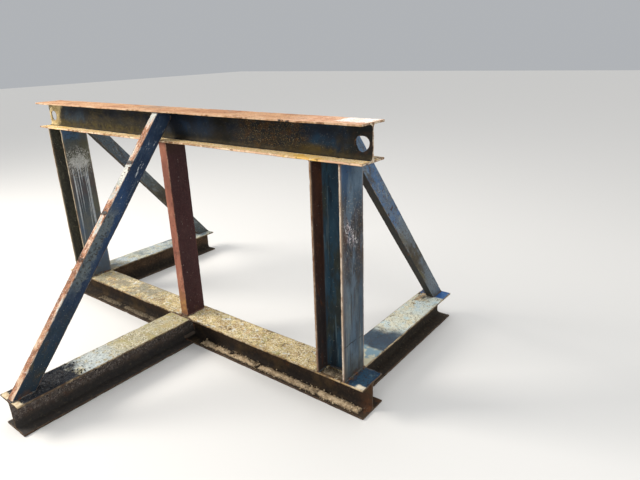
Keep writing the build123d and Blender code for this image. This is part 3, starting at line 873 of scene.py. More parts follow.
def paint_middle_post():
    p = Paint("red_oxide_middle_post", 0.18)
    c = p.two(lin(56, 34, 35), lin(70, 43, 43), 5, detail=6, seed=301, stretch=(1, 1, 0.5))
    c = p.mixc(p.mul(p.ramp(p.noise(90, 5, rough=0.7, seed=302), 0.45, 0.65), 0.4), c, lin(82, 54, 50))
    c = p.mixc(p.mul(p.ramp(p.noise(30, 5, rough=0.7, seed=324), 0.52, 0.66), 0.4), c, lin(60, 40, 40))
    p.base(c, p.mixf(p.ramp(p.noise(20, 4, seed=303), 0.35, 0.65), 0.66, 0.84), 0.0)
    grain(p, 0.08)
    back = p.attr("oa")
    t = p.math("MULTIPLY_ADD", p.noise(7, 5, seed=304), 0.16, p.z)
    # painted shadow of the girder: the post darkened near its top
    p.layer(p.mul(p.ramp(t, 1.11, 1.19), 0.75), p.two(lin(62, 46, 38), UMBER, 12, detail=5, seed=305), 0.8)
    streaks(p, back, p.two(lin(62, 38, 38), lin(84, 60, 54), 20, seed=306), (20, 20, 1.3), 1.0, 0.52, 0.70, 0.8, seed=307, strength=0.75)
    pricks(p, p.mul(back, p.ramp(p.noise(7, 3, seed=308), 0.36, 0.5)), lin(168, 154, 144), 120, 0.715, 0.735, seed=309)
    pricks(p, back, lin(98, 68, 62), 240, 0.64, 0.69, seed=310)
    chips(p, back, lin(110, 74, 64), 60, 0.04, seed=311, stretch=(1, 1, 0.6))
    # painted light: the front face is painted lighter, salmon and orange, as sunlit, and the back and sides are kept
    # dark red-brown as painted shade
    lit = p.attr("ia")
    p.layer(lit, p.two(lin(150, 96, 78), lin(122, 76, 62), 6, detail=6, seed=312, stretch=(1, 1, 0.5)), 0.85, 0.1)
    cloud(p, lit, p.two(lin(172, 122, 98), lin(158, 102, 80), 30, detail=5, seed=313), 14, 0.50, 0.64, 0.85, (1, 1, 0.5), 314, 0.85, 0.05)
    cloud(p, lit, lin(100, 62, 52), 40, 0.54, 0.64, 0.7, (1, 1, 0.5), 325, 0.9)
    p.layer(p.mul(lit, p.ramp(p.math("MULTIPLY_ADD", p.noise(12, 5, rough=0.7, seed=315), 0.16, p.z), 0.44, 0.28), 0.7), p.two(lin(176, 136, 78), lin(134, 96, 60), 26, detail=5, seed=316), 0.9, 0.15)
    rust_patches(p, p.top(p.attr("wb"), p.attr("ob")), 0.40, seed=317, bright=0.25)
    edge_wear(p, p.two(lin(186, 146, 122), lin(160, 106, 84), 30, detail=4, seed=318, stretch=(1, 1, 0.4)), 0.6, seed=319, mask=p.ramp(p.y, -0.02, -0.05))
    edge_wear(p, p.two(lin(104, 66, 52), lin(124, 82, 66), 30, detail=4, seed=320), 0.35, seed=321)
    foot_rust(p, 0.152, p.two(lin(70, 52, 42), lin(112, 78, 54), 40, detail=5, seed=322), seed=323, strength=0.7)
    return p.done()


def floor_beam(name, seed, top_paint, build, edge_tones):
    """Common look of the beams that lie on the ground."""
    p = Paint(name, 0.15)
    # the sides' rust is kept dark, partly as painted shade
    c = p.two(lin(70, 55, 44), lin(92, 73, 57), 8, detail=7, seed=seed + 1)
    c = p.mixc(p.mul(p.ramp(p.noise(30, 6, rough=0.72, seed=seed + 2), 0.46, 0.62), 0.7), c, p.two(lin(60, 55, 45), lin(106, 84, 66), 60, detail=5, seed=seed + 3))
    c = p.mixc(p.mul(p.ramp(p.noise(150, 4, rough=0.7, seed=seed + 30), 0.48, 0.64), 0.5), c, lin(98, 82, 64))
    p.base(c, 0.92, 0.0)
    grain(p, 0.16)
    web, tip, top = p.attr("wb"), p.attr("tp"), p.attr("oa")
    side = p.top(web, p.attr("ia"), p.attr("ib"))
    # a little of the old blue is left on the sides
    cloud(p, side, p.two(lin(48, 56, 66), lin(62, 68, 70), 30, detail=5, seed=seed + 5), 12, 0.60, 0.68, 0.6, seed=seed + 4, rough=0.75)
    rust_patches(p, side, 0.34, seed=seed + 6, scale=26, bright=0.3)
    pricks(p, side, lin(130, 104, 78), 190, 0.61, 0.67, seed=seed + 7)
    # dust high up; darker towards the bottom, damp soil splashed from the ground together with painted shade under the
    # top flange
    t = p.math("MULTIPLY_ADD", p.noise(20, 6, rough=0.7, seed=seed + 8), 0.07, p.z)
    p.layer(p.mul(p.ramp(t, 0.135, 0.165), p.inv(top), p.ramp(p.noise(36, 5, rough=0.7, seed=seed + 31), 0.36, 0.56), 0.6), p.two(lin(112, 90, 70), lin(92, 76, 60), 60, detail=5, seed=seed + 32), 0.95, 0.1)
    p.layer(p.mul(p.ramp(t, 0.105, 0.060), p.inv(top), 0.85), p.two(lin(60, 55, 48), lin(46, 45, 42), 60, detail=6, seed=seed + 9), 0.97, 0.3)
    cloud(p, p.mul(p.ramp(t, 0.090, 0.050), p.inv(top)), p.two(lin(110, 98, 78), lin(84, 76, 60), 80, detail=4, seed=seed + 11), 60, 0.56, 0.64, 0.7, seed=seed + 10, rough=0.97, height=0.2)
    # upper face
    p.layer(top, p.two(top_paint[0], top_paint[1], 5, detail=6, seed=seed + 12), 0.8, 0.0)
    cloud(p, top, p.two(lin(112, 78, 54), lin(136, 98, 66), 50, detail=5, seed=seed + 14), 18, 0.55, 0.64, 0.8, seed=seed + 13, rough=0.93, height=0.15)
    build(p, top)
    # edges
    up = p.mul(tip, p.ramp(p.z, 0.135, 0.145))
    p.layer(p.mul(tip, 0.9), p.two(lin(84, 68, 54), lin(62, 50, 42), 24, detail=6, seed=seed + 15), 0.93, 0.1)
    p.layer(p.mul(up, p.ramp(p.noise(20, 6, rough=0.7, seed=seed + 16), 0.46, 0.60)), p.two(edge_tones[0], edge_tones[1], 40, detail=5, seed=seed + 17), 0.95, 0.2)
    edge_wear(p, p.two(edge_tones[1], lin(206, 188, 156), 20, detail=4, seed=seed + 18), 0.55, seed=seed + 19, mask=p.ramp(p.z, 0.142, 0.149))
    edge_wear(p, p.two(lin(104, 90, 74), lin(82, 64, 50), 24, detail=4, seed=seed + 20), 0.35, seed=seed + 21)
    return p.done()


def paint_base_beam():
    def build(p, top):
        # painted shade: the base beam's sides darkened further
        p.layer(p.mul(p.inv(top), 0.6), p.two(lin(33, 27, 25), lin(74, 57, 35), 11, lo=0.44, hi=0.66, detail=6, seed=440))
        field = p.mul(top, p.ramp(p.math("MULTIPLY_ADD", p.noise(9, 5, seed=401), 0.10, p.x), 1.16, 1.09))
        p.layer(p.mul(field, 0.92), p.two(lin(186, 166, 122), lin(156, 130, 88), 14, detail=6, seed=402), 0.95, 0.25)
        cloud(p, field, p.two(lin(146, 142, 88), lin(168, 156, 98), 50, detail=5, seed=414), 15, 0.50, 0.60, 0.8, seed=415, rough=0.95, height=0.2)
        cloud(p, field, p.two(lin(196, 148, 84), lin(172, 126, 74), 60, detail=5, seed=436), 24, 0.56, 0.64, 0.8, seed=437, rough=0.95, height=0.15)
        crust(p, field, (lin(208, 190, 144), lin(190, 166, 112), lin(222, 214, 190), lin(104, 84, 58)), 403, 0.5)
        cloud(p, field, p.two(lin(212, 210, 200), lin(188, 190, 184), 70, detail=4, seed=438), 26, 0.59, 0.63, 0.9, seed=439, rough=0.9, height=0.2)
        cloud(p, field, p.two(lin(112, 88, 60), lin(84, 68, 50), 60, detail=5, seed=416), 26, 0.58, 0.65, 0.85, seed=417, rough=0.95, height=0.15)
        # grey lichen over the left part of the top face, with painted shade
        left = p.mul(field, p.box(x=(-0.95, -0.30), soft=0.08, warp=0.06, seed=419))
        cloud(p, left, p.two(lin(112, 116, 112), lin(134, 132, 116), 40, detail=5, seed=420), 14, 0.40, 0.56, 0.65, seed=421, rough=0.88)
        end = p.mul(top, p.ramp(p.math("MULTIPLY_ADD", p.noise(14, 6, seed=422), 0.045, p.x), 1.120, 1.136))
        p.layer(end, p.two(lin(26, 50, 72), lin(44, 74, 96), 13, detail=6, seed=423), 0.6)
        cloud(p, end, p.two(lin(84, 110, 124), lin(44, 52, 56), 60, seed=424), 34, 0.54, 0.63, 0.75, seed=425, rough=0.75, height=0.1)
        pricks(p, end, lin(58, 48, 42), 150, 0.58, 0.65, seed=426)
        corner = p.mul(top, p.box(x=(1.155, None), y=(None, -0.052), soft=0.006, warp=0.015, seed=427))
        p.layer(p.mul(corner, 0.9), p.two(lin(226, 214, 190), BONE, 40, seed=428), 0.85)
        around = p.mul(top, p.top(p.box(x=(0.935, 1.118), y=(-0.092, 0.092), soft=0.010, warp=0.02, seed=429),
                                  p.box(x=(-1.12, -0.935), y=(-0.092, 0.092), soft=0.010, warp=0.02, seed=430),
                                  p.box(x=(-0.042, 0.042), y=(-0.075, 0.075), soft=0.010, warp=0.02, seed=431)))
        p.layer(p.mul(around, p.ramp(p.noise(40, 5, rough=0.7, seed=432), 0.40, 0.54)), p.two(lin(92, 74, 54), UMBER, 80, detail=5, seed=433), 0.96, 0.4)
        rightend = p.mul(p.inv(top), p.ramp(p.x, 1.10, 1.18))
        cloud(p, rightend, p.two(lin(96, 62, 40), lin(74, 52, 38), 40, detail=5, seed=434), 16, 0.42, 0.58, 0.7, seed=435, rough=0.93)
    return floor_beam("rust_and_lichen_base_beam", 400, (lin(150, 132, 94), lin(170, 152, 110)), build, (lin(150, 122, 84), lin(176, 144, 96)))


def paint_front_outrigger():
    def build(p, top):
        p.layer(p.mul(top, 0.88), p.two(lin(168, 162, 136), lin(146, 138, 110), 14, detail=6, seed=502), 0.95, 0.2)
        crust(p, top, (lin(180, 173, 142), lin(166, 148, 106), lin(206, 203, 188), lin(80, 74, 58)), 503, 0.5)
        cloud(p, top, p.two(lin(150, 144, 96), lin(168, 158, 110), 50, detail=5, seed=516), 15, 0.52, 0.64, 0.7, seed=517, rough=0.95, height=0.2)
        white = p.mul(top, p.box(y=(-0.80, -0.50), soft=0.07, warp=0.06, seed=504))
        cloud(p, white, p.two(lin(196, 202, 200), lin(164, 174, 176), 60, detail=5, seed=506), 24, 0.38, 0.52, 0.9, seed=505, rough=0.92, height=0.2)
        pricks(p, white, lin(96, 92, 80), 160, 0.58, 0.65, seed=518)
        # near-black patch at the brace's foot: crumbs and moss, with the brace's shadow painted in
        t = p.math("MULTIPLY_ADD", p.noise(20, 6, rough=0.74, seed=507), 0.30, p.y)
        foot = p.mul(top, p.ramp(t, -0.50, -0.60), p.ramp(p.y, -1.0, -0.975))
        p.layer(p.mul(foot, p.ramp(p.noise(60, 6, rough=0.74, seed=508), 0.16, 0.25), 0.99), p.two(lin(23, 26, 33), lin(35, 39, 47), 120, detail=5, seed=509), 0.97, 0.9)
        pricks(p, foot, lin(120, 124, 126), 170, 0.68, 0.71, seed=510)
        t2 = p.math("MULTIPLY_ADD", p.noise(22, 5, seed=511), 0.12, p.y)
        cloud(p, p.mul(top, p.ramp(t2, -0.32, -0.20)), p.two(lin(176, 156, 104), lin(146, 130, 88), 40, detail=5, seed=513), 18, 0.48, 0.60, 0.6, seed=512, rough=0.95, height=0.2)
        dusty = p.mul(p.inv(top), p.ramp(p.math("MULTIPLY_ADD", p.noise(15, 6, rough=0.7, seed=530), 0.10, p.z), 0.085, 0.125), p.ramp(p.noise(70, 5, rough=0.72, seed=531), 0.36, 0.56))
        p.layer(p.mul(p.inv(top), 0.35), lin(66, 66, 68))
        p.layer(p.mul(dusty, 0.75), p.two(lin(112, 104, 99), lin(82, 77, 75), 60, detail=5, seed=532), 0.96, 0.15)
        pricks(p, dusty, lin(146, 134, 122), 130, 0.56, 0.63, seed=533)
        pricks(p, dusty, lin(40, 38, 38), 120, 0.58, 0.64, seed=534)
        tipend = p.mul(top, p.ramp(p.math("MULTIPLY_ADD", p.noise(40, 4, seed=519), 0.02, p.y), -0.960, -0.974))
        p.layer(p.mul(tipend, 0.85), p.two(lin(214, 200, 168), lin(190, 160, 126), 40, detail=5, seed=514), 0.9)
    return floor_beam("rust_and_lichen_front_outrigger", 500, (lin(166, 152, 114), lin(184, 172, 132)), build, (lin(138, 118, 88), lin(170, 148, 110)))


def paint_right_outrigger():
    def build(p, top):
        # painted sun and shade on the top face: dark blue as painted shadow over the part near the column, pale cream
        # and cyan as painted sunlight beyond it
        blue = p.mul(top, p.ramp(p.math("MULTIPLY_ADD", p.noise(7, 6, rough=0.66, seed=602), 0.30, p.y), 0.66, 0.52))
        p.layer(p.mul(top, 0.92), p.two(lin(204, 211, 202), lin(212, 203, 172), 6, detail=6, seed=603), 0.85, 0.1)
        away = p.mul(top, p.inv(p.mul(blue, 0.8)))
        cloud(p, away, p.two(lin(224, 218, 192), lin(206, 197, 166), 30, detail=5, seed=605), 7, 0.40, 0.58, 0.9, seed=604, rough=0.92, height=0.1)
        cloud(p, away, p.two(lin(176, 200, 208), lin(200, 214, 212), 40, detail=5, seed=607), 11, 0.50, 0.60, 0.85, seed=606, rough=0.85)
        cloud(p, away, p.two(lin(128, 116, 90), lin(156, 144, 116), 60, detail=4, seed=609), 34, 0.58, 0.64, 0.8, seed=608, rough=0.95, height=0.2)
        pricks(p, away, lin(236, 236, 226), 150, 0.60, 0.65, seed=610, height=0.2)
        p.layer(p.mul(blue, 0.95), p.two(lin(30, 52, 74), lin(50, 73, 91), 7, detail=6, seed=613), 0.68)
        cloud(p, blue, p.two(lin(74, 94, 106), lin(46, 57, 65), 40, detail=5, seed=614), 24, 0.54, 0.64, 0.7, seed=615, rough=0.8, height=0.1)
        pricks(p, top, lin(70, 56, 46), 150, 0.60, 0.66, seed=616)
        cloud(p, p.mul(top, p.inv(blue)), p.two(lin(214, 220, 216), lin(176, 196, 198), 50, detail=4, seed=617), 30, 0.54, 0.62, 0.8, seed=618, rough=0.8, height=0.1)
        # painted shadow of the brace: saturated blue at the far end
        end = p.mul(top, p.ramp(p.math("MULTIPLY_ADD", p.noise(14, 6, seed=619), 0.05, p.y), 0.922, 0.942))
        p.layer(end, p.two(lin(44, 84, 140), lin(66, 106, 152), 13, detail=6, seed=620), 0.55)
        cloud(p, end, lin(110, 130, 146), 40, 0.56, 0.64, 0.7, seed=621)
        crumbs = p.mul(top, p.box(x=(0.94, 1.02), y=(0.84, 0.96), soft=0.02, warp=0.04, seed=622))
        p.layer(p.mul(crumbs, p.ramp(p.noise(60, 6, rough=0.72, seed=623), 0.44, 0.54)), p.two(SOILDARK, SOIL, 90, seed=624), 0.97, 0.8)
        # painted sunlight: a small pale patch next to the base beam
        near = p.mul(top, p.ramp(p.math("MULTIPLY_ADD", p.noise(16, 6, seed=625), 0.03, p.y), 0.262, 0.244))
        p.layer(p.mul(near, 0.9), p.two(lin(204, 198, 170), lin(120, 146, 158), 12, lo=0.48, hi=0.60, detail=6, seed=626), 0.8)
    return floor_beam("worn_paint_sun_and_shade_right_outrigger", 600, (lin(160, 170, 166), lin(182, 186, 174)), build, (lin(150, 132, 102), lin(180, 160, 124)))


def paint_left_outrigger():
    def build(p, top):
        blue = p.mul(top, p.ramp(p.noise(6, 6, seed=702), 0.48, 0.62))
        p.layer(p.mul(top, 0.9), p.two(lin(166, 180, 188), lin(172, 176, 162), 8, detail=6, seed=703), 0.85, 0.1)
        crust(p, p.mul(top, p.inv(p.mul(blue, 0.6))), (lin(184, 186, 168), lin(166, 156, 122), lin(204, 210, 206), lin(106, 102, 88)), 704, 0.30)
        p.layer(p.mul(blue, 0.85), p.two(lin(82, 100, 116), lin(112, 124, 130), 7, detail=6, seed=713), 0.68)
        cloud(p, blue, lin(150, 154, 148), 34, 0.54, 0.64, 0.7, seed=714)
        pricks(p, top, lin(70, 58, 48), 150, 0.60, 0.66, seed=715)
        near = p.mul(top, p.ramp(p.math("MULTIPLY_ADD", p.noise(14, 6, seed=716), 0.16, p.y), 0.34, 0.22))
        cloud(p, near, p.two(lin(104, 96, 80), lin(128, 122, 106), 40, detail=5, seed=717), 24, 0.36, 0.54, 0.85, seed=718, rough=0.9, height=0.3)
    return floor_beam("worn_paint_left_outrigger", 700, (lin(150, 156, 150), lin(174, 176, 162)), build, (lin(146, 130, 102), lin(172, 156, 122)))


def paint_front_brace():
    p = Paint("worn_paint_front_brace", 0.22)
    s = p.sec()
    along = p.axis(s, 2)                       # metres up from the foot
    worn_blue(p, lin(26, 42, 66), lin(40, 66, 102), lin(50, 68, 90), seed=801, base=s, along=(1, 1, 0.4))
    back, upper, under = p.attr("oa"), p.attr("ob"), p.attr("ia")
    across = p.axis(s, 1)
    # +X side: light knocks near the top, fine scratches, greyer paint by the upper edge
    streaks(p, back, lin(78, 88, 100), (30, 40, 2.2), 1.0, 0.58, 0.68, 0.7, seed=830, base=s, strength=0.6)
    chips(p, p.mul(back, p.ramp(along, 0.80, 1.00)), lin(190, 196, 200), 60, 0.56, seed=802, stretch=(1.3, 1.3, 0.32), base=s)
    chips(p, p.mul(back, p.ramp(along, 0.55, 0.75)), lin(126, 136, 146), 110, 0.30, seed=803, stretch=(1, 1, 0.5), base=s)
    w = p.math("MULTIPLY_ADD", p.noise(26, 6, rough=0.74, seed=804, base=s), 0.085, across)
    grey = p.mul(back, p.ramp(w, 0.026, 0.042), p.ramp(along, 0.46, 0.60), p.ramp(along, 0.98, 0.88))
    p.layer(p.mul(grey, 0.85), p.two(lin(104, 112, 112), lin(82, 92, 96), 60, detail=6, seed=805), 0.8, -0.15)
    cloud(p, grey, lin(52, 46, 42), 80, 0.52, 0.60, 0.9, seed=806, rough=0.9, height=-0.1)
    foot = p.mul(back, p.ramp(p.math("MULTIPLY_ADD", p.noise(9, 6, seed=807, base=s), 0.5, along), 0.82, 0.50))
    p.layer(p.mul(foot, 0.88), p.two(lin(30, 47, 58), lin(47, 48, 42), 9, detail=6, seed=808, base=s, stretch=(1, 1, 0.5)), 0.78, 0.05)
    cloud(p, foot, p.two(lin(84, 78, 54), lin(72, 58, 44), 30, detail=5, seed=809), 16, 0.50, 0.63, 0.75, (1, 1, 0.45), 810, 0.85, 0.1, base=s)
    pricks(p, back, lin(72, 58, 50), 170, 0.67, 0.74, seed=811)
    pricks(p, back, lin(140, 142, 140), 240, 0.675, 0.72, seed=831)
    rust_patches(p, p.mul(back, p.ramp(along, 0.5, 0.3)), 0.16, seed=812, scale=26, bright=0.2)
    low_edge = p.mul(back, p.ramp(p.math("MULTIPLY_ADD", p.noise(30, 5, rough=0.7, seed=832, base=s, stretch=(1, 1, 0.4)), 0.02, across), -0.022, -0.030))
    p.layer(p.mul(low_edge, 0.8), p.two(lin(66, 52, 42), lin(54, 48, 38), 30, seed=833), 0.9, 0.1)
    # the face that looks up and out: pale paint at the top, rust coming through more and more towards the foot
    p.layer(upper, p.two(lin(200, 198, 188), lin(172, 176, 172), 14, detail=6, seed=813, base=s, stretch=(1, 1, 0.5)), 0.78, 0.1)
    cloud(p, upper, p.two(lin(150, 158, 158), lin(176, 168, 150), 50, detail=5, seed=834), 26, 0.50, 0.60, 0.7, (1, 1, 0.6), 835, 0.8, base=s)
    t = p.math("MULTIPLY_ADD", along, -0.07, p.noise(11, 7, rough=0.74, seed=814, base=s, stretch=(1.4, 1, 0.5)))
    bands = p.top(p.mul(p.ramp(along, 1.15, 1.19), p.ramp(along, 1.38, 1.34)), p.mul(p.ramp(along, 0.88, 0.91), p.ramp(along, 0.985, 0.955)),
                  p.ramp(along, 0.81, 0.77))
    t = p.math("MULTIPLY_ADD", bands, 0.065, t)
    p.layer(p.mul(upper, p.ramp(t, 0.425, 0.455), 0.9), p.two(lin(216, 180, 152), lin(190, 148, 120), 40, detail=5, seed=815), 0.87, 0.1)
    p.layer(p.mul(upper, p.ramp(t, 0.475, 0.510)), p.two(lin(164, 116, 88), lin(124, 84, 62), 34, detail=6, seed=816), 0.93, 0.25)
    pricks(p, upper, lin(80, 56, 44), 180, 0.59, 0.65, seed=817)
    pricks(p, upper, lin(222, 218, 208), 220, 0.62, 0.67, seed=836)
    rims = p.mul(upper, p.ramp(p.math("ABSOLUTE", p.axis(s, 0)), 0.0165, 0.0215), p.ramp(p.noise(34, 5, rough=0.7, seed=837, base=s, stretch=(1, 1, 0.35)), 0.42, 0.52))
    p.layer(p.mul(rims, 0.9), p.two(lin(74, 60, 56), lin(112, 78, 60), 30, detail=4, seed=838), 0.9)
    cloud(p, p.mul(upper, p.ramp(along, 0.40, 0.24)), p.two(lin(220, 200, 176), lin(196, 158, 124), 30, detail=5, seed=841), 24, 0.44, 0.56, 0.75, (1, 1, 0.6), 842, 0.9, base=s)
    # burnt paint round the weld scars
    for at in SCARS:
        m = p.mul(upper, p.ramp(p.math("ABSOLUTE", p.math("SUBTRACT", p.math("MULTIPLY_ADD", p.noise(60, 4, seed=int(at * 100)), 0.03, along), at + 0.015)), 0.014, 0.005))
        p.layer(p.mul(m, 0.85), p.two(RUSTDARK, lin(54, 40, 34), 60, seed=839), 0.9, 0.1)
    hid = p.top(under, p.attr("wb"))
    p.layer(p.mul(hid, 0.85), p.two(lin(62, 56, 42), lin(54, 42, 34), 10, detail=6, seed=818), 0.85, 0.1)
    rust_patches(p, hid, 0.40, seed=819, bright=0.25)
    edge_wear(p, p.two(lin(168, 160, 148), lin(108, 74, 54), 26, lo=0.45, hi=0.6, detail=4, seed=820), 0.5, seed=821)
    foot_rust(p, 0.152, p.two(lin(76, 62, 50), lin(98, 68, 50), 40, detail=5, seed=840), seed=822, strength=0.8)
    return p.done()


def paint_back_brace(name, seed, top_tone, low_tone, stain):
    p = Paint(name, 0.22)
    s = p.sec()
    along = p.axis(s, 2)
    worn_blue(p, top_tone[0], top_tone[1], lin(98, 108, 116), seed=seed, base=s, along=(1, 1, 0.4))
    back, upper, under = p.attr("oa"), p.attr("ob"), p.attr("ia")
    t = p.math("MULTIPLY_ADD", p.noise(6, 6, rough=0.66, seed=seed + 1, base=s), 0.6, along)
    low = p.mul(back, p.ramp(t, 1.22, 0.92))
    p.layer(p.mul(low, 0.85), p.two(low_tone[0], low_tone[1], 8, detail=6, seed=seed + 2, base=s, stretch=(1, 1, 0.4)), 0.65)
    v = p.math("MULTIPLY_ADD", p.noise(16, 6, rough=0.68, seed=seed + 3, base=s, stretch=(1, 1, 0.4)), 0.06, p.axis(s, 1))
    olive = p.mul(back, p.ramp(v, 0.026, -0.002), p.ramp(t, 1.05, 0.80), p.ramp(along, 0.16, 0.34))
    p.layer(p.mul(olive, stain), p.two(lin(96, 90, 62), lin(110, 100, 78), 20, detail=6, seed=seed + 4), 0.85, 0.1)
    cloud(p, back, p.two(lin(136, 146, 150), lin(112, 122, 128), 40, detail=4, seed=seed + 6), 26, 0.56, 0.63, 0.7, (1, 1, 0.5), seed + 5, 0.75, base=s)
    cloud(p, back, p.two(lin(84, 76, 62), lin(70, 66, 60), 40, detail=4, seed=seed + 21), 20, 0.56, 0.66, 0.7, (1, 1, 0.4), seed + 22, 0.85, base=s)
    streaks(p, back, p.two(lin(90, 84, 72), lin(80, 92, 104), 30, seed=seed + 23), (30, 44, 2.0), 1.0, 0.56, 0.68, 0.8, seed=seed + 24, base=s, strength=0.6)
    pricks(p, back, lin(84, 60, 44), 130, 0.60, 0.66, seed=seed + 7)
    pricks(p, back, lin(158, 162, 156), 230, 0.64, 0.68, seed=seed + 8)
    band = p.mul(back, p.ramp(along, 0.30, 0.40), p.ramp(along, 0.66, 0.56))
    cloud(p, band, p.two(lin(82, 74, 58), lin(66, 60, 52), 26, detail=5, seed=seed + 26), 9, 0.42, 0.56, stain, (1, 1.3, 0.5), seed + 27, 0.85, base=s)
    for at, wd in ((0.90, 0.009), (0.52, 0.006)):
        m = p.mul(back, p.ramp(p.math("ABSOLUTE", p.math("SUBTRACT", p.math("MULTIPLY_ADD", p.noise(40, 4, seed=seed + int(at * 50)), 0.05, along), at + 0.025)), wd, wd * 0.4),
                  p.ramp(p.noise(30, 4, seed=seed + 10), 0.44, 0.52))
        p.layer(p.mul(m, 0.85), p.two(lin(78, 58, 44), UMBER, 40, seed=seed + 11), 0.92, 0.3)
    # underside and channel inside: dark olive, darkened partly as painted shade on faces that look down
    hid = p.top(under, p.attr("wb"))
    p.layer(p.mul(hid, 0.92), p.two(lin(44, 41, 30), lin(56, 48, 33), 10, detail=6, seed=seed + 13), 0.85, 0.1)
    rust_patches(p, hid, 0.28, seed=seed + 14, bright=0.15, scale=20)
    p.layer(p.mul(upper, 0.85), p.two(lin(118, 126, 126), lin(140, 138, 122), 9, detail=6, seed=seed + 15, base=s), 0.8, 0.1)
    crust(p, upper, (lin(158, 156, 134), lin(140, 128, 96), lin(186, 186, 174), lin(88, 76, 60)), seed + 16, 0.35)
    rust_patches(p, upper, 0.38, seed=seed + 17)
    edge_wear(p, p.two(lin(96, 70, 50), lin(146, 142, 128), 26, detail=4, seed=seed + 18), 0.45, seed=seed + 19)
    foot_rust(p, 0.152, p.two(lin(84, 74, 58), lin(98, 72, 52), 40, detail=5, seed=seed + 25), seed=seed + 20, strength=0.7)
    return p.done()


def paint_weld(name, dark, light, rusty):
    p = Paint(name, 0.3)
    p.base(p.two(dark, light, 60, detail=5, seed=901), 0.72, 0.0)
    grain(p, 0.2)
    cloud(p, ANY, p.two(RUSTDARK, lin(116, 76, 52), 60, detail=4, seed=903), 34, 0.62 - rusty * 0.2, 0.70 - rusty * 0.2, 0.9, seed=902, rough=0.92, height=0.15)
    pricks(p, ANY, lin(150, 140, 120), 260, 0.62, 0.68, seed=904)
    return p.done()


def paint_soil(name, a, b, c, speck=lin(216, 204, 180), thin=None):
    p = Paint(name, 0.10)
    p.base(p.two(a, b, 46, detail=6, seed=951), 0.98, 0.0)
    grain(p, 0.5)
    cloud(p, ANY, c, 120, 0.54, 0.62, 0.85, seed=952, rough=0.98, height=0.4)
    cloud(p, ANY, lin(62, 52, 42), 90, 0.56, 0.64, 0.85, seed=953, rough=0.98, height=0.2)
    pricks(p, ANY, speck, 260, 0.62, 0.67, seed=954)
    if thin is not None:
        edge = p.ramp(p.math("MULTIPLY_ADD", p.noise(70, 5, rough=0.7, seed=955), -0.006, p.z), thin + 0.0015, thin - 0.0025)
        p.layer(p.mul(edge, 0.85), p.two(lin(72, 60, 48), lin(50, 42, 36), 90, detail=4, seed=956), 0.98)
    return p.done()


# ------------------------------------------------------------------ the members
EX, EY, EZ = np.array([1.0, 0, 0]), np.array([0, 1.0, 0]), np.array([0, 0, 1.0])
RING_H = h_ring()


def add_member(name, node, ob, material):
    ob.data.materials.clear()
    ob.data.materials.append(material)
    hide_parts(node)
    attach(ob, "root")
    return ob


def h_member(node, origin, U, V, S, length, seed, material, step=0.010, holes=None, dent=1.0, tongue=None, plane_cuts=()):
    origin = np.array(origin, float)
    ob = swept(node + "_steel", RING_H, origin, U, V, S, length, step)
    for point, normal in plane_cuts:
        cut(ob, point, normal)
    for cutter in holes or []:
        drill(ob, cutter)
    extra = None
    if holes:
        def extra(co):
            return np.abs(np.minimum(np.hypot(co[:, 0] - HOLE_X, co[:, 2] - HOLE_Z),
                                     np.hypot(co[:, 0] + HOLE_X, co[:, 2] - HOLE_Z)) - HOLE_R - 0.001) + (np.abs(co[:, 1]) > 0.02) * 1.0
    finish_member(ob, origin, U, V, S, h_zones, length, seed, dent=dent, extra=extra)
    return add_member(node, node, ob, material)


def hole_cutter(x, seed, shape=((0, 0.032), (360, 0.032))):
    """A torch-cut hole: its radius by angle, with an uneven rim and small drag notches."""
    n = 72
    ang = np.linspace(0, 2 * np.pi, n, endpoint=False)
    ring = np.stack([np.cos(ang), np.sin(ang), np.zeros(n)], 1)
    turn, reach = np.array(shape, float).T
    r = np.interp(np.degrees(ang), turn, reach) + 0.0016 * smooth(fbm(ring, 1.6, 2, seed), 0.35, 0.75) + 0.0012 * fbm(ring, 9.0, 2, seed + 1)
    verts, faces = [], []
    for y in (-0.03, 0.03):
        for a, rr in zip(ang, r):
            verts.append((x + rr * math.cos(a), y, HOLE_Z + rr * math.sin(a)))
    for i in range(n):
        j = (i + 1) % n
        faces.append((i, j, n + j, n + i))
    faces.append(tuple(reversed(range(n))))
    faces.append(tuple(range(n, 2 * n)))
    ob = mesh_object("cutter", verts, faces)
    bm = bmesh.new()
    bm.from_mesh(ob.data)
    bmesh.ops.recalc_face_normals(bm, faces=bm.faces)
    bm.to_mesh(ob.data)
    bm.free()
    return ob


girder = h_member("top_girder", (-LENGTH / 2, 0, GIRDER_BOTTOM + H_DEPTH / 2), EY, EZ, EX, LENGTH, 11,
                  paint_girder_web(), step=0.008, holes=[hole_cutter(HOLE_X, 5, ((0, 0.0305), (22, 0.0318), (46, 0.0328), (72, 0.0300), (97, 0.0290), (120, 0.0305),
                                                                    (148, 0.0332), (165, 0.0292), (205, 0.0270), (225, 0.0282), (246, 0.0312),
                                                                    (262, 0.0300), (285, 0.0275), (314, 0.0265), (335, 0.0290), (360, 0.0305))),
                                              hole_cutter(-HOLE_X, 8, ((0, 0.0290), (40, 0.0306), (90, 0.0280), (140, 0.0300), (180, 0.0284),
                                                                       (230, 0.0302), (270, 0.0282), (320, 0.0300), (360, 0.0290)))])
girder.data.materials.append(paint_girder_flanges())
for face in girder.data.polygons:
    c = face.center
    if abs(c.y) > H_WEB / 2 + H_ROOT * 0.97 or abs(c.z - GIRDER_BOTTOM - H_DEPTH / 2) > H_DEPTH / 2 - H_FLANGE * 0.9:
        face.material_index = 1
right_column = h_member("right_column", (COLUMN_X, 0, BASE_TOP), EY, EX, EZ, GIRDER_BOTTOM - BASE_TOP, 23, paint_right_column(), dent=0.8)
left_column = h_member("left_column", (-COLUMN_X, 0, BASE_TOP), EY, EX, EZ, GIRDER_BOTTOM - BASE_TOP, 37, paint_left_column(), dent=0.8)
base = h_member("base_beam", (-LENGTH / 2, 0, H_DEPTH / 2), EY, EZ, EX, LENGTH, 41, paint_base_beam(), dent=1.2)


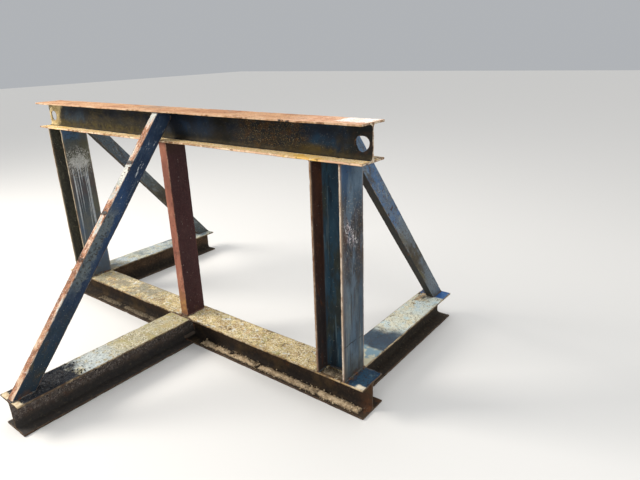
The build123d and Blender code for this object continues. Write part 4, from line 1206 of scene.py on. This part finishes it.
def outrigger(node, x, side, seed, material):
    length = LEG_END_Y - H_WIDTH / 2
    y0 = H_WIDTH / 2 if side > 0 else -LEG_END_Y
    origin = np.array([x, y0, H_DEPTH / 2])
    ob = swept(node + "_steel", RING_H, origin, EX, EZ, EY, length)
    # the web runs on between the base beam's flanges
    lo, hi = H_FLANGE + H_ROOT, H_DEPTH - H_FLANGE - H_ROOT
    ya, yb = sorted((side * H_WEB / 2, side * (H_WIDTH / 2 + 0.001)))
    bm = bmesh.new()
    bm.from_mesh(ob.data)
    vs = {}
    for a in (0, 1):
        for j, b in enumerate(np.linspace(ya, yb, 9)):
            for k, c in enumerate(np.linspace(lo, hi, 11)):
                vs[a, j, k] = bm.verts.new((x + (2 * a - 1) * H_WEB / 2, b, c))
    for a in (0, 1):
        for j in range(8):
            for k in range(10):
                bm.faces.new((vs[a, j, k], vs[a, j + 1, k], vs[a, j + 1, k + 1], vs[a, j, k + 1]))
    for j in range(8):
        bm.faces.new((vs[0, j, 0], vs[1, j, 0], vs[1, j + 1, 0], vs[0, j + 1, 0]))
        bm.faces.new((vs[0, j, 10], vs[1, j, 10], vs[1, j + 1, 10], vs[0, j + 1, 10]))
    for k in range(10):
        bm.faces.new((vs[0, 0, k], vs[1, 0, k], vs[1, 0, k + 1], vs[0, 0, k + 1]))
        bm.faces.new((vs[0, 8, k], vs[1, 8, k], vs[1, 8, k + 1], vs[0, 8, k + 1]))
    bmesh.ops.recalc_face_normals(bm, faces=bm.faces)
    bm.to_mesh(ob.data)
    bm.free()
    finish_member(ob, origin, EX, EZ, EY, h_zones, length, seed, dent=1.1)
    return add_member(node, node, ob, material)


outrigger("front_outrigger", FRONT_LEG_X, -1, 53, paint_front_outrigger())
outrigger("right_back_outrigger", RIGHT_LEG_X, 1, 59, paint_right_outrigger())
outrigger("left_back_outrigger", LEFT_LEG_X, 1, 61, paint_left_outrigger())

post_origin = np.array([0, 0, BASE_TOP])
post = swept("middle_post_steel", c_ring(**PO), post_origin, EX, EY, EZ, GIRDER_BOTTOM - BASE_TOP)
finish_member(post, post_origin, EX, EY, EZ, lambda u, v: c_zones(u, v, **PO), GIRDER_BOTTOM - BASE_TOP, 71, dent=0.7)
add_member("middle_post", "middle_post", post, paint_middle_post())


def brace(node, x, side, seed, material):
    foot = np.array([0, BRACE_FOOT_Y, BASE_TOP])
    head = np.array([0, BRACE_TOP_Y, SOFFIT])
    run = head - foot
    reach = np.linalg.norm(run)
    a = run / reach
    out = np.array([0, a[2], -a[1]])
    start = foot - out * (BR["depth"] / 2) - a * 0.2
    origin = np.array([x, side * start[1], start[2]])
    S = np.array([0, side * a[1], a[2]])
    V = np.array([0, side * out[1], out[2]])
    ob = swept(node + "_steel", c_ring(**BR), origin, EX, V, S, reach + 0.4)
    cut(ob, (0, 0, BASE_TOP), (0, 0, -1))
    cut(ob, (0, 0, SOFFIT), (0, 0, 1))
    cut(ob, (0, side * H_WEB / 2, 0), (0, -side, 0))
    k = H_WEB / 2 + H_ROOT + 0.001
    cut(ob, (0, side * k, SOFFIT), (0, -side, 1))
    origin = origin + S * 0.2                     # section coordinates start at the foot
    def extra(co):
        return np.minimum(np.minimum(co[:, 2] - BASE_TOP, SOFFIT - co[:, 2]), np.abs(co[:, 1]) - H_WEB / 2)
    finish_member(ob, origin, EX, V, S, lambda u, v: c_zones(u, v, **BR), reach, seed, ends=False, dent=0.8, extra=extra)
    return add_member(node, node, ob, material)


brace("front_brace", 0.0, -1, 73, paint_front_brace())
brace("right_back_brace", RIGHT_LEG_X, 1, 79,
      paint_back_brace("worn_paint_right_brace", 830, (lin(68, 100, 138), lin(92, 118, 144)), (lin(84, 100, 116), lin(106, 114, 118)), 0.95))
# painted shade: the left brace's blues are set darker than the right brace's
brace("left_back_brace", LEFT_LEG_X, 1, 83,
      paint_back_brace("worn_paint_left_brace", 860, (lin(56, 70, 86), lin(74, 86, 94)), (lin(74, 84, 88), lin(90, 95, 90)), 0.9))


# ------------------------------------------------------------------ welds, soil and crumbs
def joined(name, parts, material):
    """One piece from several closed shells."""
    verts, faces, start = [], [], 0
    for v, f in parts:
        verts.append(np.asarray(v, float))
        faces.extend([tuple(i + start for i in q) for q in f])
        start += len(v)
    ob = mesh_object(name, np.concatenate(verts), faces)
    bm = bmesh.new()
    bm.from_mesh(ob.data)
    bmesh.ops.recalc_face_normals(bm, faces=bm.faces)
    bm.to_mesh(ob.data)
    bm.free()
    ob.data.polygons.foreach_set("use_smooth", [True] * len(ob.data.polygons))
    ob.data.materials.append(material)
    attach(ob, "root")
    return ob


def bead(a, b, seed, radius=0.0046, up=(0, 0, 1), flat=1.0, sides=8):
    """A run of weld metal: ripples along a rounded bar, its ends drawn in."""
    a, b, up = np.array(a, float), np.array(b, float), np.array(up, float)
    d = b - a
    length = np.linalg.norm(d)
    d /= length
    n1 = up - d * (up @ d)
    n1 /= np.linalg.norm(n1)
    n2 = np.cross(d, n1)
    m = max(6, int(length / 0.0024))
    s = np.linspace(0.0, length, m)
    far = np.minimum(s, length - s)
    end = np.sqrt(np.clip(1 - (1 - np.clip(far / radius, 0, 1)) ** 2, 0.02, 1))
    line = np.stack([s * 60, s * 0 + seed, s * 0], 1)
    ripple = 1 + 0.11 * np.sin(2 * np.pi * s / 0.0062 + 4 * vnoise(line * 0.5, seed)) + 0.34 * (fbm(line, 1.0, 2, seed + 1) - 0.5)
    r = radius * ripple * end
    side = 0.0016 * (fbm(line * 0.6, 1.0, 2, seed + 2) - 0.5)
    verts, faces = [], []
    for i in range(m):
        c = a + d * s[i] + n2 * side[i]
        for j in range(sides):
            t = 2 * math.pi * j / sides
            verts.append(c + r[i] * (math.cos(t) * n1 * flat + math.sin(t) * n2))
    for i in range(m - 1):
        for j in range(sides):
            k = (j + 1) % sides
            faces.append((i * sides + j, i * sides + k, (i + 1) * sides + k, (i + 1) * sides + j))
    faces.append(tuple(reversed(range(sides))))
    faces.append(tuple(range((m - 1) * sides, m * sides)))
    return np.array(verts), faces


def ico(detail=1):
    bm = bmesh.new()
    bmesh.ops.create_icosphere(bm, subdivisions=detail, radius=1.0)
    v = np.array([list(x.co) for x in bm.verts])
    f = [tuple(x.index for x in q.verts) for q in bm.faces]
    bm.free()
    return v, f


ICO1, ICO2 = ico(1), ico(2)


def lump(at, size, seed, squash=(1, 1, 1), rough=0.5, shape=ICO2):
    """An irregular crumb or a blob of spatter."""
    v, f = shape
    k = 1 + rough * (fbm(v + seed * 3.7, 1.4, 2, seed) - 0.5) * 1.6
    turn = Matrix.Rotation(seed * 1.7, 3, (0.4, 0.5, 0.77))
    w = (v * k[:, None] * size * np.array(squash)) @ np.array(turn).T
    return w + np.array(at, float), f


def mound(x0, x1, y0, y1, z0, height, seed, step=0.0036, edge=0.016, holes=0.42):
    """Soil lying on a flange: a closed, lumpy skin whose border sinks into the steel."""
    nx, ny = int((x1 - x0) / step) + 1, int((y1 - y0) / step) + 1
    X, Y = np.meshgrid(np.linspace(x0, x1, nx), np.linspace(y0, y1, ny), indexing="ij")
    P = np.stack([X.ravel(), Y.ravel(), np.zeros(X.size)], 1)
    border = np.minimum(np.minimum(P[:, 0] - x0, x1 - P[:, 0]), np.minimum(P[:, 1] - y0, y1 - P[:, 1]))
    border = border - 0.012 * fbm(P, 34.0, 3, seed + 7)
    big = smooth(fbm(P, 26.0, 3, seed), holes - 0.10, holes + 0.22)
    z = height * big * smooth(border, 0.0, edge) * (0.75 + 0.5 * fbm(P, 120.0, 3, seed + 3))
    z += 0.0026 * (fbm(P, 330.0, 2, seed + 5) - 0.5) * smooth(border, 0.002, edge) - 0.0012 * (1 - smooth(border, 0.0, edge)) - 0.0006
    top = np.stack([P[:, 0], P[:, 1], z0 + z], 1)
    low = np.stack([P[:, 0], P[:, 1], np.full(len(P), z0 - 0.0030)], 1)
    verts = np.concatenate([top, low])
    n = len(P)
    faces = []
    at = lambda i, j: i * ny + j
    for i in range(nx - 1):
        for j in range(ny - 1):
            q = (at(i, j), at(i + 1, j), at(i + 1, j + 1), at(i, j + 1))
            faces.append(q)
            faces.append(tuple(reversed([k + n for k in q])))
    for i in range(nx - 1):
        faces.append((at(i, 0), at(i, 0) + n, at(i + 1, 0) + n, at(i + 1, 0)))
        faces.append((at(i, ny - 1), at(i + 1, ny - 1), at(i + 1, ny - 1) + n, at(i, ny - 1) + n))
    for j in range(ny - 1):
        faces.append((at(0, j), at(0, j + 1), at(0, j + 1) + n, at(0, j) + n))
        faces.append((at(nx - 1, j), at(nx - 1, j) + n, at(nx - 1, j + 1) + n, at(nx - 1, j + 1)))
    return verts, faces


def crumbs(count, x, y, z, size, seed, bias=1.0):
    rng = np.random.default_rng(seed)
    out = []
    for i in range(count):
        s = size[0] + (size[1] - size[0]) * rng.random() ** 2.4
        at = (x[0] + (x[1] - x[0]) * rng.random() ** bias, y[0] + (y[1] - y[0]) * rng.random(), z + s * 0.35)
        out.append(lump(at, s, seed * 100 + i, (1, 0.6 + 0.5 * rng.random(), 0.45 + 0.4 * rng.random()), 0.8, ICO1))
    return out


weld_blue = paint_weld("weld_metal_dark", lin(58, 66, 74), lin(86, 84, 76), 0.5)
weld_oxide = paint_weld("weld_metal_oxide", lin(84, 56, 50), lin(104, 76, 62), 0.5)
weld_floor = paint_weld("weld_metal_floor", lin(62, 48, 38), lin(92, 74, 56), 0.7)


def column_welds(node, cx, seed):
    parts = []
    for z in (BASE_TOP + 0.0014, GIRDER_BOTTOM - 0.0014):
        for sx in (-1, 1):
            parts.append(bead((cx + sx * 0.0774, -0.077, z), (cx + sx * 0.0774, 0.077, z), seed))
            for sy in (-1, 1):
                parts.append(bead((cx + sx * 0.0656, sy * 0.019, z), (cx + sx * 0.0656, sy * 0.078, z), seed + 1 + sy))
        for sy in (-1, 1):
            parts.append(bead((cx - 0.054, sy * 0.0046, z), (cx + 0.054, sy * 0.0046, z), seed + 5 + sy, 0.0040))
        seed += 11
    rng = np.random.default_rng(seed)
    for i in range(26):
        y = -0.075 + 0.15 * rng.random()
        z = BASE_TOP + 0.004 + 0.05 * rng.random() ** 2 if i % 2 else GIRDER_BOTTOM - 0.004 - 0.05 * rng.random() ** 2
        parts.append(lump((cx + 0.0762, y, z), 0.0010 + 0.0010 * rng.random(), seed + i, rough=0.4, shape=ICO1))
    return joined(node + "_welds", parts, weld_blue)


column_welds("right_column", COLUMN_X, 301)
column_welds("left_column", -COLUMN_X, 341)

parts = []
for z, sd in ((BASE_TOP + 0.0012, 401), (GIRDER_BOTTOM - 0.0012, 421)):
    parts.append(bead((0.0288, -0.057, z), (0.0288, 0.057, z), sd, 0.0042))
    parts.append(bead((0.0192, -0.044, z), (0.0192, 0.044, z), sd + 1, 0.0040))
    for sy in (-1, 1):
        parts.append(bead((-0.025, sy * 0.0612, z), (0.026, sy * 0.0612, z), sd + 3 + sy, 0.0042))
joined("middle_post_welds", parts, weld_oxide)


def brace_welds(node, cx, side, seed, more=()):
    z = BASE_TOP + 0.0010
    parts = [
        bead((cx - 0.021, side * 1.0026, z), (cx + 0.021, side * 1.0026, z), seed, 0.0036),
        bead((cx + 0.0236, side * 0.902, z), (cx + 0.0236, side * 1.000, z), seed + 1, 0.0042),
        bead((cx - 0.020, side * 0.8978, z), (cx + 0.022, side * 0.8978, z), seed + 2, 0.0040),
        bead((cx - 0.021, side * 0.0775, SOFFIT - 0.0012), (cx + 0.021, side * 0.0775, SOFFIT - 0.0012), seed + 3, 0.0036),
        bead((cx + 0.0236, side * 0.024, SOFFIT - 0.0014), (cx + 0.0236, side * 0.073, SOFFIT - 0.0014), seed + 4, 0.0040),
        bead((cx + 0.0232, side * 0.0046, 1.2255), (cx + 0.0232, side * 0.0046, 1.2455), seed + 5, 0.0036, up=(1, 0, 0)),
    ]
    parts.extend(more)
    return joined(node + "_welds", parts, weld_blue)


run = np.array([0, BRACE_TOP_Y - BRACE_FOOT_Y, SOFFIT - BASE_TOP])
run /= np.linalg.norm(run)
UPHILL = np.array([0, -run[1], run[2]])              # along the front brace, from its foot up
OUTWARD = np.array([0, -run[2], -run[1]])            # out of its upper face
FOOT = np.array([0, -BRACE_FOOT_Y, BASE_TOP])
scars = []
for k, at in enumerate(SCARS):
    c = FOOT + UPHILL * at
    lean = UPHILL * 0.004 * (1 if k % 2 else -1)
    scars.append(bead(c - EX * 0.0185 - lean, c + EX * 0.0195 + lean, 501 + k, 0.0040, up=OUTWARD, flat=0.75))
    scars.append(bead(c - EX * 0.0120 + UPHILL * 0.009, c + EX * 0.0185 + UPHILL * 0.007, 511 + k, 0.0026, up=OUTWARD, flat=0.6))
    rng = np.random.default_rng(77 + k)
    for i in range(9):
        scars.append(lump(c + EX * (-0.02 + 0.04 * rng.random()) + UPHILL * (-0.02 + 0.045 * rng.random()) + OUTWARD * 0.0004,
                          0.0012 + 0.0012 * rng.random(), 600 + 10 * k + i, rough=0.4, shape=ICO1))
stub = FOOT + UPHILL * 1.132 + EX * 0.0215
scars.append(lump(stub, 0.0078, 701, (0.8, 1.2, 0.8), 0.7))
scars.append(lump(stub + UPHILL * 0.011 - EX * 0.003, 0.0052, 703, (1.2, 0.8, 0.7), 0.7))
brace_welds("front_brace", 0.0, -1, 431, scars)
brace_welds("right_back_brace", RIGHT_LEG_X, 1, 451)
brace_welds("left_back_brace", LEFT_LEG_X, 1, 471)


def outrigger_welds(node, cx, side, seed):
    y = side * H_WIDTH / 2
    parts = [
        bead((cx - 0.077, y, BASE_TOP - 0.0002), (cx + 0.077, y, BASE_TOP - 0.0002), seed, 0.0062, flat=0.40),
        bead((cx - 0.077, y, H_FLANGE - 0.0002), (cx - 0.018, y, H_FLANGE - 0.0002), seed + 1, 0.0055, flat=0.45),
        bead((cx + 0.018, y, H_FLANGE - 0.0002), (cx + 0.077, y, H_FLANGE - 0.0002), seed + 2, 0.0055, flat=0.45),
    ]
    for sx in (-1, 1):
        parts.append(bead((cx + sx * 0.0044, side * 0.0044, 0.027), (cx + sx * 0.0044, side * 0.0044, 0.125), seed + 4 + sx, 0.0040, up=(1, 0, 0)))
    return joined(node + "_welds", parts, weld_floor)


outrigger_welds("front_outrigger", FRONT_LEG_X, -1, 521)
outrigger_welds("right_back_outrigger", RIGHT_LEG_X, 1, 541)
outrigger_welds("left_back_outrigger", LEFT_LEG_X, 1, 561)

# small stubs of weld left on the top flange's front edge
nubs = [bead((0.803, -0.0800, GIRDER_TOP - 0.0052), (0.819, -0.0800, GIRDER_TOP - 0.0040), 811, 0.0036),
        bead((0.842, -0.0800, GIRDER_TOP - 0.0084), (0.862, -0.0800, GIRDER_TOP - 0.0040), 812, 0.0034),
        lump((0.829, -0.0802, GIRDER_TOP - 0.0046), 0.0026, 813, (1, 1, 1), 0.5)]
joined("top_girder_weld_stubs", nubs, paint_weld("weld_stub_dark", lin(38, 34, 32), lin(58, 46, 40), 0.3))

# soil and grit that lie on the flanges
z_low = H_FLANGE
sandy = paint_soil("sandy_soil", lin(190, 168, 136), lin(150, 128, 100), lin(214, 194, 164), thin=z_low)
dark = paint_soil("dark_litter_and_shade", lin(30, 32, 36), lin(44, 45, 48), lin(70, 70, 70), speck=lin(96, 98, 100))
soil = [mound(0.10, 1.175, -0.0795, -0.010, z_low, 0.0125, 31, holes=0.30, edge=0.026),
        mound(0.10, 0.97, 0.022, 0.079, z_low, 0.0060, 35, step=0.005)]
soil += crumbs(420, (0.12, 1.17), (-0.078, -0.020), z_low + 0.005, (0.0016, 0.0064), 5)
soil += crumbs(260, (0.06, 1.19), (-0.079, -0.012), z_low, (0.0010, 0.0028), 6)
joined("base_beam_soil", soil, sandy)
litter = paint_soil("mixed_litter", lin(104, 92, 75), lin(78, 69, 57), lin(140, 125, 104), speck=lin(180, 168, 146))
joined("base_beam_left_litter", [mound(-0.93, -0.10, -0.079, -0.010, z_low, 0.0085, 33, holes=0.38, edge=0.030)]
       + crumbs(110, (-0.92, -0.10), (-0.078, -0.022), z_low + 0.002, (0.0014, 0.0050), 15)
       + crumbs(200, (-0.97, -0.06), (-0.079, -0.012), z_low, (0.0010, 0.0028), 16), litter)
# dark litter at the front brace's foot, also standing in for the brace's shadow there
foot_soil = [mound(FRONT_LEG_X - 0.066, FRONT_LEG_X + 0.076, -0.992, -0.72, BASE_TOP, 0.0042, 41)]
foot_soil += crumbs(150, (FRONT_LEG_X - 0.070, FRONT_LEG_X + 0.074), (-0.97, -0.66), BASE_TOP + 0.001, (0.0014, 0.0050), 7)
joined("front_outrigger_litter_and_shade", foot_soil, dark)
right_soil = [mound(RIGHT_LEG_X - 0.074, RIGHT_LEG_X - 0.020, 0.80, 0.935, BASE_TOP, 0.0046, 43)]
right_soil += crumbs(70, (RIGHT_LEG_X - 0.072, RIGHT_LEG_X + 0.02), (0.74, 0.90), BASE_TOP + 0.001, (0.0014, 0.0048), 9)
joined("right_back_outrigger_litter", right_soil, sandy)
for node, cx, sd in (("right_column", COLUMN_X, 51), ("left_column", -COLUMN_X, 53)):
    inner = [mound(cx - 0.066, cx + 0.066, -0.076, -0.006, BASE_TOP, 0.0075, sd, holes=0.36),
             mound(cx - 0.066, cx + 0.066, 0.006, 0.076, BASE_TOP, 0.0060, sd + 1, step=0.005, holes=0.40)]
    inner += crumbs(34, (cx - 0.058, cx + 0.058), (-0.072, -0.012), BASE_TOP + 0.003, (0.0014, 0.0044), sd)
    joined(node + "_foot_soil", inner, litter)


# ------------------------------------------------------------------ stage, light and camera
def area(name, at, aim, size, power, colour):
    lamp = bpy.data.lights.new(name, "AREA")
    lamp.shape = "RECTANGLE"
    lamp.size, lamp.size_y = size
    lamp.energy = power
    lamp.color = colour
    ob = bpy.data.objects.new(name, lamp)
    ob.location = at
    ob.rotation_mode = "QUATERNION"
    ob.rotation_quaternion = (Vector(aim) - Vector(at)).to_track_quat("-Z", "Y")
    bpy.context.scene.collection.objects.link(ob)
    return ob


area("key_softbox", (-3.6, -2.6, 3.6), (0, 0, 0.5), (2.0, 2.0), 325, (1.0, 0.95, 0.88))
area("top_softbox", (0.4, 0.6, 4.6), (0, 0, 0.5), (3.5, 3.5), 25, (1.0, 0.98, 0.95))
wash = bpy.data.lights.new("overhead_wash", "SUN")
wash.energy, wash.angle, wash.color = 1.25, math.radians(70), (1.0, 0.98, 0.95)
wash_ob = bpy.data.objects.new("overhead_wash", wash)
wash_ob.location = (0, 0, 5)
bpy.context.scene.collection.objects.link(wash_ob)
area("fill_softbox", (4.6, -2.4, 2.4), (0.2, 0, 0.6), (3.0, 3.0), 45, (0.90, 0.95, 1.0))

world = bpy.data.worlds.new("studio")
world.use_nodes = True
world.node_tree.nodes["Background"].inputs["Color"].default_value = (0.84, 0.87, 0.91, 1)
world.node_tree.nodes["Background"].inputs["Strength"].default_value = 0.52
bpy.context.scene.world = world

floor_mat = bpy.data.materials.new("studio_floor")
floor_mat.use_nodes = True
fb = floor_mat.node_tree.nodes["Principled BSDF"]
fb.inputs["Base Color"].default_value = (0.70, 0.69, 0.67, 1)
fb.inputs["Roughness"].default_value = 0.9
floor_ob = mesh_object("studio_floor", [(-30, -30, 0), (30, -30, 0), (30, 30, 0), (-30, 30, 0)], [(0, 1, 2, 3)])
floor_ob.location.z = -0.0005
floor_ob.data.materials.append(floor_mat)

view = bpy.context.scene.view_settings
view.view_transform = "Standard"

# the photograph's camera, as solved from the trestle's own corners
ROT = np.array([[0.794492, 0.606432, -0.031985],
                [0.183912, -0.290473, -0.939043],
                [-0.578756, 0.740180, -0.342309]])
cam_data = bpy.data.cameras.new("camera")
cam_data.sensor_fit = "HORIZONTAL"
cam_data.sensor_width = 36.0
cam_data.lens = 525.046 / 640 * 36.0
cam_data.clip_start, cam_data.clip_end = 0.05, 100
cam = bpy.data.objects.new("camera", cam_data)
m = Matrix.Identity(4)
for i in range(3):
    m[i][0], m[i][1], m[i][2] = ROT[0][i], -ROT[1][i], -ROT[2][i]
m[0][3], m[1][3], m[2][3] = 2.23119, -1.65950, 1.52852
cam.matrix_world = m
bpy.context.scene.collection.objects.link(cam)
bpy.context.scene.camera = cam

bpy.context.view_layer.update()
